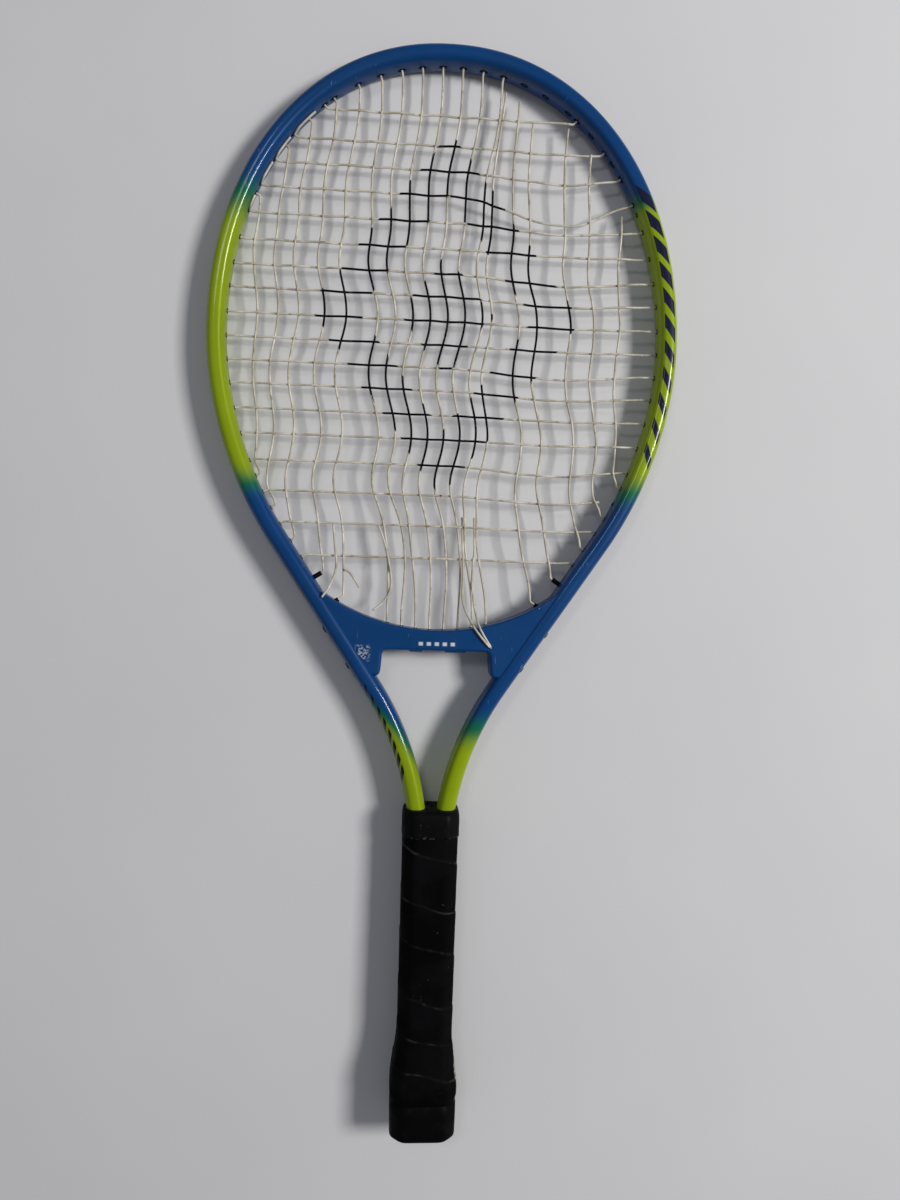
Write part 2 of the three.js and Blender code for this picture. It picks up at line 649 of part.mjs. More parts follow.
// The free part of main string k, from the bottom to the top.
function mainSpan(k) {
  const top = mainTopStart(k);
  const bottom = mainBottomStart(k);
  const free = k > LAST_WHOLE_MAIN;
  const count = 9;
  const points = [];
  for (let i = 0; i <= count; i += 1) {
    const t = i / count;
    const y = THREE.MathUtils.lerp(bottom.y + STRAND_MARGIN, top.y - (free ? 0 : STRAND_MARGIN), t);
    const x = THREE.MathUtils.lerp(bottom.x, top.x, t);
    const ends = smooth(0, 0.06, t) * (free ? 1 : 1 - smooth(0.94, 1, t));
    points.push(new THREE.Vector3(x + ends * mainShift(x, y) * (free ? 0.85 : 1), y, LAYER_HEIGHT));
  }
  return [bottom, ...points, ...(free ? [] : [top])];
}

function mainTopStart(k) {
  if (k > LAST_WHOLE_MAIN) {
    return new THREE.Vector3(FREE_TOPS[k][0], FREE_TOPS[k][1], LAYER_HEIGHT);
  }
  return pointAt(mainTopStations[k], -STRAND_START, 0);
}

function mainBottomStart(k) {
  if (throughBridge(k)) {
    const x = bridgeHoleX(k);
    return new THREE.Vector3(x, bridgeTopAt(x) + 2.4, 0);
  }
  return pointAt(mainBottomStations[k], -mainReach(mainRank(k)), 0);
}

// The stretch in the frame's groove between two stations, at the given height.
function grooveLoop(from, to, height) {
  const lead = 3;
  const forward = Math.sign(to.order - from.order);
  const leaving = pointAt(from, LOOP_RADIAL, height, forward * lead);
  const arriving = pointAt(to, LOOP_RADIAL, height, -forward * lead);
  const shortest = 1.5;
  const inner = [];
  for (let i = Math.min(from.segment, to.segment) + 1; i <= Math.max(from.segment, to.segment); i += 1) {
    const corner = framePoint(i, LOOP_RADIAL, height);
    if (Math.min(corner.distanceTo(leaving), corner.distanceTo(arriving)) > shortest) {
      inner.push(corner);
    }
  }
  const middle = forward > 0 ? inner : inner.reverse();
  return [pointAt(from, LOOP_RADIAL, 0), leaving, ...middle, arriving, pointAt(to, LOOP_RADIAL, 0)];
}

// A tied-off end lies in the groove for a short way.
function tiedEnd(station, height, direction) {
  return [
    pointAt(station, LOOP_RADIAL, height, direction * 5.2),
    pointAt(station, LOOP_RADIAL, height, direction * 3),
    pointAt(station, LOOP_RADIAL, 0),
  ];
}

function bottomLoop(k) {
  if (throughBridge(k)) {
    const y = BRIDGE_BOTTOM_Y + GROOVE_DEPTH - GAP - (STRIP_TOP - STRIP_BOTTOM) - 0.8;
    return [new THREE.Vector3(bridgeHoleX(k), y, 0), new THREE.Vector3(bridgeHoleX(k + 1), y, 0)];
  }
  return grooveLoop(mainBottomStations[k], mainBottomStations[k + 1], LOOP_HEIGHT);
}

// Mains 1 to 13 are one string: odd ones run upwards and even ones downwards.
function mainString() {
  const points = tiedEnd(mainBottomStations[1], LOOP_HEIGHT, 1);
  for (let k = 1; k <= LAST_WHOLE_MAIN; k += 1) {
    const span = mainSpan(k);
    if (k % 2 === 1) {
      points.push(...span, ...grooveLoop(mainTopStations[k], mainTopStations[k + 1], LOOP_HEIGHT));
    } else {
      points.push(...span.reverse(), ...bottomLoop(k));
    }
  }
  points.push(...mainSpan(LAST_WHOLE_MAIN + 1));
  return rope(points);
}

// A broken pair is held by its loop at the bottom, and both of its upper ends are free.
const brokenPair = (k) => rope([...mainSpan(k).reverse(), ...bottomLoop(k), ...mainSpan(k + 1)]);

// The outermost main on the right is broken too, and its lower end is tied off in the groove.
function brokenEdge(k) {
  const end = tiedEnd(mainBottomStations[k], LOOP_HEIGHT, -1).reverse();
  return rope([...mainSpan(k).reverse(), ...end]);
}

// The free part of a cross string, from the left to the right.
function crossSpan(row) {
  const left = pointAt(crossStations[row].left, -STRAND_START, 0);
  const right = pointAt(crossStations[row].right, -STRAND_START, 0);
  const broken = row === BROKEN_CROSS - 1;
  const endX = broken ? BROKEN_CROSS_END_X : right.x - STRAND_MARGIN;
  const count = 7;
  const points = [];
  for (let i = 0; i <= count; i += 1) {
    const x = THREE.MathUtils.lerp(left.x + STRAND_MARGIN, endX, i / count);
    points.push(new THREE.Vector3(x, CROSS_Y[row] + crossSag(row, x, endX), -LAYER_HEIGHT));
  }
  return [left, ...points, ...(broken ? [] : [right])];
}

// Crosses first..last, counted from 1, are one string. Odd ones run to the right.
function crossString(first, last) {
  const points = [];
  for (let n = first; n <= last; n += 1) {
    const row = n - 1;
    const toRight = n % 2 === 1;
    const span = crossSpan(row);
    points.push(...(toRight ? span : span.reverse()));
    if (n < last) {
      const side = toRight ? 'right' : 'left';
      points.push(...grooveLoop(crossStations[row][side], crossStations[row + 1][side], -LOOP_HEIGHT));
    }
  }
  return points;
}

function upperCrossString() {
  const start = tiedEnd(crossStations[0].left, -LOOP_HEIGHT, 1);
  const lastRow = BROKEN_CROSS - 2;
  const end = tiedEnd(crossStations[lastRow].right, -LOOP_HEIGHT, 1).reverse();
  return rope([...start, ...crossString(1, BROKEN_CROSS - 1), ...end]);
}

function lowerCrossString() {
  const end = tiedEnd(crossStations[CROSS_COUNT - 1].left, -LOOP_HEIGHT, -1).reverse();
  return rope([...crossString(BROKEN_CROSS, CROSS_COUNT), ...end]);
}

// ---------------------------------------------------------------- handle

// Half of the moulded handle: face is 1 for the front half and -1 for the back half.
function handleShell(face) {
  const split = GAP / 2;
  const { halfWidth, halfDepth, bottom, top } = SHELL;
  const slot = SHAFT_SLOT;
  const right = [
    [halfWidth, split], [halfWidth, halfDepth - OCTAGON_CHAMFER], [halfWidth - OCTAGON_CHAMFER, halfDepth],
  ];
  const slotRight = [
    [slot.chamferSum - slot.halfDepth, slot.halfDepth], [slot.halfWidth, slot.chamferSum - slot.halfWidth],
    [slot.halfWidth, split],
  ];
  const mirrored = (list) => list.slice().reverse().map(([x, z]) => [-x, z]);
  const outline = [...right, ...mirrored(right), ...mirrored(slotRight), ...slotRight];
  const shape = new THREE.Shape(outline.map(([x, z]) => new THREE.Vector2(x, -z)));
  const geometry = new THREE.ExtrudeGeometry(shape, { depth: top - bottom, bevelEnabled: false });
  geometry.rotateX(-Math.PI / 2).translate(0, bottom, 0);
  if (face < 0) {
    geometry.rotateY(Math.PI);
    return cutAll(geometry, []);
  }
  const tackHole = (side) => new THREE.BoxGeometry(6, 2.6, 2.6).translate(side * 16, TACK_Y, TACK_Z);
  const holes = [-1, 1].map(tackHole);
  return cutAll(geometry, holes);
}

function buttCap() {
  const outside = loft([
    octagonRing(BUTT_Y, CAP_END),
    octagonRing(CAP_EDGE, CAP_RIM),
    octagonRing(CAP_VISIBLE_TOP - GAP, CAP_RIM),
    octagonRing(CAP_VISIBLE_TOP, CAP_UNDER_WRAP),
    octagonRing(FLARE_TOP, CAP_UNDER_WRAP),
    octagonRing(SKIRT_TOP, SKIRT_END),
  ]);
  const cavity = loft([octagonRing(CAP_FLOOR, SHELL, GAP), octagonRing(SKIRT_TOP + 1, SHELL, GAP)]);
  const tackRoom = [-1, 1].flatMap((side) => [
    new THREE.BoxGeometry(2.6, 4.8, 4.8).translate(side * 20.4, TACK_Y, TACK_Z),
    new THREE.BoxGeometry(8, 2.6, 2.6).translate(side * 18, TACK_Y, TACK_Z),
  ]);
  return cutAll(outside, [cavity, ...tackRoom]);
}

// A tack holds the cap to the front half of the handle, under the wrap.
function capTack(side) {
  const profile = [[0, 15.3], [0.9, 15.3], [0.9, 19.4], [2, 19.4], [2, 20.1], [0, 20.1]];
  const geometry = new THREE.LatheGeometry(profile.map(([r, h]) => new THREE.Vector2(r, h)), 8);
  geometry.rotateZ(-side * Math.PI / 2).translate(0, TACK_Y, TACK_Z);
  return toGeometry(toSolid(geometry));
}

function gripWrap() {
  const bottom = CAP_VISIBLE_TOP + GAP;
  const outer = [
    octagonRing(bottom, FLARE),
    octagonRing(FLARE_TOP, FLARE),
    octagonRing(SKIRT_TOP, SKIRT_END, WRAP_THICKNESS + GAP),
    octagonRing(WRAP_BLEND_TOP, WRAP),
    octagonRing(TAPE.bottom - 1.5, WRAP),
    octagonRing(TAPE.bottom - GAP, WRAP_UNDER_TAPE),
    octagonRing(WRAP_TOP, WRAP_UNDER_TAPE),
  ];
  const inner = [
    octagonRing(bottom, CAP_UNDER_WRAP, GAP),
    octagonRing(FLARE_TOP, CAP_UNDER_WRAP, GAP),
    octagonRing(SKIRT_TOP, SKIRT_END, GAP),
    octagonRing(WRAP_BLEND_TOP, WRAP, -WRAP_THICKNESS),
    octagonRing(WRAP_TOP, WRAP, -WRAP_THICKNESS),
  ];
  return hollowLoft(outer, inner);
}

function finishingTape() {
  const heights = [TAPE.bottom, TAPE.top];
  const outer = heights.map((y) => octagonRing(y, WRAP_UNDER_TAPE, GAP + TAPE.thickness));
  return hollowLoft(outer, heights.map((y) => octagonRing(y, WRAP_UNDER_TAPE, GAP)));
}

// ---------------------------------------------------------------- assembly

const finish = (color, roughness, metalness) => () =>
  new THREE.MeshStandardMaterial({ color, roughness, metalness });
const paintedTube = finish(0x0a4c9c, 0.25, 0.4);
const bridgeEnamel = finish(0x0b4a92, 0.35, 0.1);
const blackPlastic = finish(0x111214, 0.5, 0);
const rivetSteel = finish(0x1c1d20, 0.4, 0.8);
const tackSteel = finish(0xa8a8a8, 0.35, 1);
const nylon = finish(0xe9e2cf, 0.4, 0);
const palletFoam = finish(0x4a4a48, 0.8, 0);
const wrapRubber = finish(0x15161a, 0.7, 0);
const tapeVinyl = finish(0x101014, 0.4, 0);

const racket = new THREE.Group();

function addPiece(name, geometry, material) {
  const mesh = new THREE.Mesh(geometry, material());
  mesh.name = name;
  racket.add(mesh);
}

addPiece('frame_tube', frameTube(), paintedTube);
addPiece('throat_bridge', throatBridge(), bridgeEnamel);
for (const { side, level } of rivetPlaces) {
  addPiece(`bridge_rivet_${level}_${side < 0 ? 'left' : 'right'}`, rivet(side, level), rivetSteel);
}

addPiece('grommet_strip_head', headStrip(), blackPlastic);
addPiece('grommet_strip_left', sideStrip(-1), blackPlastic);
addPiece('grommet_strip_right', sideStrip(1), blackPlastic);
addPiece('throat_grommet_left', throatGrommet(-1), blackPlastic);
addPiece('throat_grommet_right', throatGrommet(1), blackPlastic);
addPiece('bridge_grommet_strip', bridgeStrip(), blackPlastic);

addPiece('main_string', mainString(), nylon);
addPiece('main_strand_broken_inner', brokenPair(14), nylon);
addPiece('main_strand_broken_outer', brokenPair(16), nylon);
addPiece('main_strand_broken_edge', brokenEdge(18), nylon);
addPiece('cross_string_upper', upperCrossString(), nylon);
addPiece('cross_string_lower', lowerCrossString(), nylon);

addPiece('handle_shell_front', handleShell(1), palletFoam);
addPiece('handle_shell_back', handleShell(-1), palletFoam);
addPiece('butt_cap', buttCap(), blackPlastic);
addPiece('cap_tack_left', capTack(-1), tackSteel);
addPiece('cap_tack_right', capTack(1), tackSteel);
addPiece('grip_wrap', gripWrap(), wrapRubber);
addPiece('finishing_tape', finishingTape(), tapeVinyl);

racket.scale.setScalar(DRAWING_SCALE);
racket.position.set(0, -DRAWING_SCALE * (BUTT_Y + TIP_Y) / 2, DRAWING_SCALE * FLARE.halfDepth);

export default racket;
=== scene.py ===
import math

import bpy
from mathutils import Matrix, Vector
from mathutils.geometry import tessellate_polygon


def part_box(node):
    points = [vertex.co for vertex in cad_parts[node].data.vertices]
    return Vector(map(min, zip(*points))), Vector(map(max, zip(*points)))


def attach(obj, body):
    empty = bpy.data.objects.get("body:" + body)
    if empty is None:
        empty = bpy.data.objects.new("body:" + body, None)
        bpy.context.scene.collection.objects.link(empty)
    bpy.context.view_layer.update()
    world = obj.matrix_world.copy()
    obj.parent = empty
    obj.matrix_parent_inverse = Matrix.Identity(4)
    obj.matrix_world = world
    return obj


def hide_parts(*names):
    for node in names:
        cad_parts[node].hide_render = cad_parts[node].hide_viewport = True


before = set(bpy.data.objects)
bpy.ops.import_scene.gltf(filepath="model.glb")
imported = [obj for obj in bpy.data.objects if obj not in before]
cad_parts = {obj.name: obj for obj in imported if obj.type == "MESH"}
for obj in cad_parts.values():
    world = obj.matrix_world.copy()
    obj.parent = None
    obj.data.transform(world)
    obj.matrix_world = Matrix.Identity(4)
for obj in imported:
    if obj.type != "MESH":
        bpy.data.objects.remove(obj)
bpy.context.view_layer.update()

# The tennis racket's looks: a painted bent tube, its moulded bridge, black grommets, worn and woven
# nylon strings with an inked figure of plain diamonds, and a wound black grip.
#
# Shapes are drawn as the part is: y from the butt to the tip, x across, z from the string plane, in
# units close to a millimetre. place() puts a drawn point into the shared frame, in metres.

DRAWN_BUTT_Y = 10
DRAWN_TIP_Y = 685

# ------------------------------------------------------------------ sizes taken from the frame

FRAME_LOW, FRAME_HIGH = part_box("frame_tube")
CAP_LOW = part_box("butt_cap")[0]
WRAP_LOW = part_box("grip_wrap")[0]
TAPE_LOW, TAPE_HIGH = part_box("finishing_tape")

BUTT_Y = CAP_LOW[1]
UNIT = (FRAME_HIGH[1] - BUTT_Y) / (DRAWN_TIP_Y - DRAWN_BUTT_Y)
PLANE_Z = (FRAME_LOW[2] + FRAME_HIGH[2]) / 2
TUBE_HALF_DEPTH = (FRAME_HIGH[2] - FRAME_LOW[2]) / 2 / UNIT
TUBE_HALF_WIDTH = 5.8
HEAD_HALF_WIDTH = (FRAME_HIGH[0] - FRAME_LOW[0]) / 2 / UNIT - TUBE_HALF_WIDTH


def frame_y(y):
    """A drawn height as the shared frame's y, in metres."""
    return BUTT_Y + (y - DRAWN_BUTT_Y) * UNIT


def drawn_y(y):
    """The shared frame's y, in metres, as a drawn height."""
    return DRAWN_BUTT_Y + (y - BUTT_Y) / UNIT


def half_size(node, axis):
    low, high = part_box(node)
    return (high[axis] - low[axis]) / 2 / UNIT


def place(x, y, z):
    return Vector((x * UNIT, frame_y(y), PLANE_Z + z * UNIT))


def spread(first, last, steps):
    """Evenly spaced values from first to last, with both of them."""
    return [first + (last - first) * i / steps for i in range(steps + 1)]


def circle(count):
    """Angles evenly spaced round a circle."""
    return spread(0, 2 * math.pi, count)[:-1]


# ------------------------------------------------------------------ the frame's centre line

HEAD_WIDEST_Y = 507
HEAD_TOP_RISE = DRAWN_TIP_Y - TUBE_HALF_WIDTH - HEAD_WIDEST_Y
HEAD_LOWER_DROP = 189
HEAD_TOP_POWER = 2.12
HEAD_LOWER_POWER = 1.82
HEAD_LOWER_END = math.radians(42)
BEND_RADIUS = 189
SHAFT_X = 7.3
SHAFT_END_Y = 24
HEAD_TOP_STEPS = 70
HEAD_LOWER_STEPS = 40
ARM_STEPS = 24
ARM_ANGLE = math.atan(
    HEAD_HALF_WIDTH / HEAD_LOWER_DROP * math.tan(HEAD_LOWER_END) ** (2 - 2 / HEAD_LOWER_POWER)
)


def half_centre_line():
    """The right-hand half, from the tip to the end of the shaft."""
    points = []
    for angle in spread(0, math.pi / 2, HEAD_TOP_STEPS):
        x = HEAD_HALF_WIDTH * math.sin(angle) ** (2 / HEAD_TOP_POWER)
        y = HEAD_WIDEST_Y + HEAD_TOP_RISE * max(0, math.cos(angle)) ** (2 / HEAD_TOP_POWER)
        points.append(Vector((x, y)))
    for angle in spread(0, HEAD_LOWER_END, HEAD_LOWER_STEPS)[1:]:
        x = HEAD_HALF_WIDTH * math.cos(angle) ** (2 / HEAD_LOWER_POWER)
        y = HEAD_WIDEST_Y - HEAD_LOWER_DROP * math.sin(angle) ** (2 / HEAD_LOWER_POWER)
        points.append(Vector((x, y)))
    arm_top = points[-1]
    across = BEND_RADIUS * (1 - math.cos(ARM_ANGLE))
    along = (arm_top.x - SHAFT_X - across) / math.sin(ARM_ANGLE)
    bend_y = arm_top.y - BEND_RADIUS * math.sin(ARM_ANGLE) - along * math.cos(ARM_ANGLE)
    bend_top = Vector((SHAFT_X + across, bend_y + BEND_RADIUS * math.sin(ARM_ANGLE)))
    points += [arm_top.lerp(bend_top, t) for t in spread(0, 1, ARM_STEPS)[1:-1]]
    for angle in spread(ARM_ANGLE, 0, ARM_STEPS):
        x = SHAFT_X + BEND_RADIUS * (1 - math.cos(angle))
        points.append(Vector((x, bend_y + BEND_RADIUS * math.sin(angle))))
    points.append(Vector((SHAFT_X, SHAFT_END_Y)))
    return points


RIGHT_HALF = half_centre_line()
CENTRE_LINE = [Vector((-p.x, p.y)) for p in reversed(RIGHT_HALF[1:])] + RIGHT_HALF
TIP_INDEX = len(RIGHT_HALF) - 1


def arc_lengths():
    """Distance along the centre line from the tip: negative on the left, positive on the right."""
    lengths = [0.0]
    for a, b in zip(CENTRE_LINE, CENTRE_LINE[1:]):
        lengths.append(lengths[-1] + (b - a).length)
    return [s - lengths[TIP_INDEX] for s in lengths]


ARC = arc_lengths()


def outward_at(i):
    before = CENTRE_LINE[max(0, i - 1)]
    after = CENTRE_LINE[min(len(CENTRE_LINE) - 1, i + 1)]
    return Vector((before.y - after.y, after.x - before.x)).normalized()


OUTWARD = [outward_at(i) for i in range(len(CENTRE_LINE))]


def frame_at(s):
    """Centre point and outward direction at a distance from the tip."""
    low, high = 0, len(ARC) - 1
    while high - low > 1:
        middle = (low + high) // 2
        if ARC[middle] <= s:
            low = middle
        else:
            high = middle
    t = (s - ARC[low]) / (ARC[high] - ARC[low])
    return CENTRE_LINE[low].lerp(CENTRE_LINE[high], t), OUTWARD[low].lerp(OUTWARD[high], t).normalized()


def on_frame(s, outward, height, along=0.0):
    """A drawn point at distance s, this far outwards, above the string plane and further along."""
    centre, out = frame_at(s)
    ahead = Vector((out.y, -out.x))
    p = centre + out * outward + ahead * along
    return Vector((p.x, p.y, height))


def arc_at_height(y, side):
    """Distance from the tip to where the centre line is at height y, on one side."""
    for i in range(TIP_INDEX, len(ARC) - 1):
        a, b = CENTRE_LINE[i], CENTRE_LINE[i + 1]
        if a.y >= y > b.y:
            return side * (ARC[i] + (a.y - y) / (a.y - b.y) * (ARC[i + 1] - ARC[i]))
    return side * ARC[-1]


# ------------------------------------------------------------------ the string bed's layout

GROOVE_HALF_WIDTH = 2.9
GROOVE_FLOOR = TUBE_HALF_WIDTH - 2.7
STRIP_BOTTOM = GROOVE_FLOOR + 0.3
STRIP_TOP = STRIP_BOTTOM + 0.8
BARREL_REACH = TUBE_HALF_WIDTH + 1.5
STRAND_START = BARREL_REACH + 1.3
LOOP_RADIAL = 5.0
LOOP_HEIGHT = 1.4

MAIN_TOP_X = [6.1, 18.3, 30.5, 43, 56, 70, 84.5, 98, 114.5]
MAIN_BOTTOM_Y = {9: 422.5, 8: 403.5, 7: 384, 6: 364, 5: 349}
BRIDGE_RANK = 4
BRIDGE_HOLE_PITCH = 8.8
THROAT_REACH = {5: 14.5, 6: 12.4}
CROSS_Y = [
    644, 626, 611, 596, 580, 564, 549, 535, 520, 505.5, 491.5, 477.5, 462.5, 447.5, 431.5, 413, 394, 374,
]
CROSS_SAG = [0, 1, 4, 14, 3.5, 1, 4, 3, 1, 1, 4, 3, 1, 1, 4, 3, 1, 0.5]
FREE_TOPS = {13: (33, 660), 14: (42, 656), 15: (52, 643), 16: (74, 641), 17: (90, 626), 18: (110.5, 590)}
LAST_WHOLE_MAIN = 12
BROKEN_CROSS = 16
BROKEN_CROSS_END_X = 100
MAIN_COUNT = 2 * len(MAIN_TOP_X)
CROSS_COUNT = len(CROSS_Y)

BRIDGE_TOP_Y = 329.8
BRIDGE_TOP_RADIUS = 126
BRIDGE_BOTTOM_Y = 317.2
BRIDGE_BOTTOM_HALF = 33
BRIDGE_FOOT_Y = drawn_y(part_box("throat_bridge")[0][1])
BRIDGE_HALF_DEPTH = half_size("throat_bridge", 2)
BRIDGE_STRIP_BOTTOM = drawn_y(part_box("bridge_grommet_strip")[0][1])


def main_side(k):
    return -1 if k <= MAIN_COUNT / 2 else 1


def main_rank(k):
    return MAIN_COUNT // 2 + 1 - k if k <= MAIN_COUNT / 2 else k - MAIN_COUNT // 2


def through_bridge(k):
    return main_rank(k) <= BRIDGE_RANK


def through_throat(k):
    return main_rank(k) in THROAT_REACH


def main_reach(rank):
    return THROAT_REACH.get(rank, STRAND_START)


FIRST_STATION = 0.5
STATION_STEPS = 400


def find_station(axis, value, side, reach, upper):
    """Distance from the tip of the place whose strand starts at the given x or y."""
    widest = arc_at_height(HEAD_WIDEST_Y, 1)
    start, end = (FIRST_STATION, widest) if upper else (widest, arc_at_height(BRIDGE_FOOT_Y, 1))
    previous = None
    for distance in spread(start, end, STATION_STEPS):
        s = side * distance
        error = on_frame(s, -reach, 0)[axis] - value
        if previous is not None and (error < 0) != (previous[1] < 0):
            t = previous[1] / (previous[1] - error)
            return previous[0] + (s - previous[0]) * t
        previous = (s, error)
    raise ValueError(f"no place on the frame for {value}")


MAIN_TOPS = {
    k: find_station(0, main_side(k) * MAIN_TOP_X[main_rank(k) - 1], main_side(k), STRAND_START, True)
    for k in range(1, MAIN_COUNT + 1)
}
MAIN_BOTTOMS = {
    k: find_station(1, MAIN_BOTTOM_Y[main_rank(k)], main_side(k), main_reach(main_rank(k)), False)
    for k in range(1, MAIN_COUNT + 1) if not through_bridge(k)
}
CROSS_ENDS = {
    (row, side): find_station(1, y, side, STRAND_START, y > HEAD_WIDEST_Y)
    for row, y in enumerate(CROSS_Y) for side in (-1, 1)
}


def bridge_hole_x(k):
    return main_side(k) * BRIDGE_HOLE_PITCH * (main_rank(k) - 0.5)


def bridge_top_at(x):
    return BRIDGE_TOP_Y + BRIDGE_TOP_RADIUS - math.sqrt(BRIDGE_TOP_RADIUS ** 2 - x ** 2)


# ------------------------------------------------------------------ mesh helpers

def smooth(low, high, value):
    t = min(1, max(0, (value - low) / (high - low)))
    return t * t * (3 - 2 * t)


def quadratic(a, b, c, steps):
    """Points after a along a curve from a to c that leaves towards b."""
    return [a * (1 - t) ** 2 + b * 2 * t * (1 - t) + c * t ** 2 for t in spread(0, 1, steps)[1:]]


def add_to_scene(name, data):
    thing = bpy.data.objects.new(name, data)
    bpy.context.scene.collection.objects.link(thing)
    return thing


def mesh_object(name, vertices, faces, uvs=None, flat_faces=()):
    """A piece from drawn points. uvs holds one list of corner coordinates for each face."""
    mesh = bpy.data.meshes.new(name)
    mesh.from_pydata([place(*v) for v in vertices], [], faces)
    if uvs:
        layer = mesh.uv_layers.new(name="Along")
        for polygon, corners in zip(mesh.polygons, uvs):
            for loop, corner in zip(polygon.loop_indices, corners):
                layer.data[loop].uv = corner
    mesh.validate()
    mesh.update()
    piece = add_to_scene(name, mesh)
    for polygon in mesh.polygons:
        polygon.use_smooth = polygon.index not in flat_faces
    return piece


class Builder:
    """Collects closed bodies into one list of points and faces."""

    def __init__(self):
        self.vertices = []
        self.faces = []
        self.uvs = []

    def rings(self, rings, closed=False):
        """A skin through rings of points, with flat ends unless the last ring joins the first."""
        count = len(rings[0])
        base = len(self.vertices)
        self.vertices += [tuple(p) for ring in rings for p in ring]
        spans = len(rings) if closed else len(rings) - 1
        flip = self.points_inwards(rings)
        for i in range(spans):
            here, there = base + i * count, base + (i + 1) % len(rings) * count
            u0, u1 = i / spans, (i + 1) / spans
            for j in range(count):
                k = (j + 1) % count
                face = (here + j, here + k, there + k, there + j)
                uv = ((u0, j / count), (u0, (j + 1) / count), (u1, (j + 1) / count), (u1, j / count))
                self.faces.append(face[::-1] if flip else face)
                self.uvs.append(uv[::-1] if flip else uv)
        if not closed:
            first = tuple(base + j for j in range(count))
            last = tuple(base + (len(rings) - 1) * count + j for j in range(count))
            flat = tuple((0.0, 0.0) for _ in range(count))
            self.faces.append(first if flip else first[::-1])
            self.faces.append(last[::-1] if flip else last)
            self.uvs += [flat, flat]

    @staticmethod
    def points_inwards(rings):
        """True when faces in ring order would point inwards."""
        ring = [Vector(p) for p in rings[0]]
        centre = sum(ring, Vector()) / len(ring)
        ahead = sum((Vector(p) for p in rings[1]), Vector()) / len(ring) - centre
        area = Vector()
        for a, b in zip(ring, ring[1:] + ring[:1]):
            area += (a - centre).cross(b - centre)
        return area.dot(ahead) < 0

    def object(self, name):
        return mesh_object(name, self.vertices, self.faces, self.uvs)


BARREL_SIDES = 20
ROUND_SIDES = 24


def oval_ring(station, outward, half_along, half_height, count=BARREL_SIDES):
    """An oval round the string hole at a station, lying along the frame's surface."""
    return [
        on_frame(station, outward, half_height * math.sin(angle), half_along * math.cos(angle))
        for angle in circle(count)
    ]


def turned(builder, station, profile):
    """A round body about a station's outward axis, from (outward, radius) pairs."""
    builder.rings([oval_ring(station, u, r, r, ROUND_SIDES) for u, r in profile])


def corner_frames(points):
    """For each point of a path, its two directions across the path, carried along without twist."""
    frames = []
    side = None
    for i in range(len(points)):
        before = points[max(0, i - 1)]
        after = points[min(len(points) - 1, i + 1)]
        tangent = (after - before).normalized()
        if side is None:
            side = tangent.cross(Vector((0, 0, 1)))
            if side.length < 0.1:
                side = tangent.cross(Vector((1, 0, 0)))
        side = (side - tangent * side.dot(tangent)).normalized()
        frames.append((side, side.cross(tangent)))
    return frames


STRING_RADIUS = 0.68
STRING_SIDES = 10
STRING_TIP = 0.35 * STRING_RADIUS
STRING_TIP_SHARE = 0.55
CORNER_RADIUS = 1.6
CORNER_STEPS = 4
CORNER_LEAST_ANGLE = math.radians(12)
CORNER_LARGEST_SHARE = 0.45
SAME_PLACE = 1e-6


def add_rope(builder, points):
    """A round string along a path, with blunt ends that are a little smaller."""
    rings = []
    for p, (side, up) in zip(points, corner_frames(points)):
        rings.append([
            p + side * STRING_RADIUS * math.cos(angle) + up * STRING_RADIUS * math.sin(angle)
            for angle in circle(STRING_SIDES)
        ])
    for at, to in ((0, 1), (-1, -2)):
        away = (points[at] - points[to]).normalized()
        small = [points[at] + (q - points[at]) * STRING_TIP_SHARE + away * STRING_TIP for q in rings[at]]
        rings.insert(0 if at == 0 else len(rings), small)
    builder.rings(rings)


def rounded_path(points):
    """Sharp corners of a path turned into short curves."""
    result = [points[0]]
    for before, p, after in zip(points, points[1:], points[2:]):
        into = p - before
        out = after - p
        if into.length < SAME_PLACE or out.length < SAME_PLACE:
            continue
        if into.angle(out) < CORNER_LEAST_ANGLE:
            result.append(p)
            continue
        a = p - into.normalized() * min(CORNER_RADIUS, into.length * CORNER_LARGEST_SHARE)
        b = p + out.normalized() * min(CORNER_RADIUS, out.length * CORNER_LARGEST_SHARE)
        result += [a, *quadratic(a, p, b, CORNER_STEPS)]
    result.append(points[-1])
    return result


# ------------------------------------------------------------------ shader helper

NOISE_ROUGHNESS = 0.55


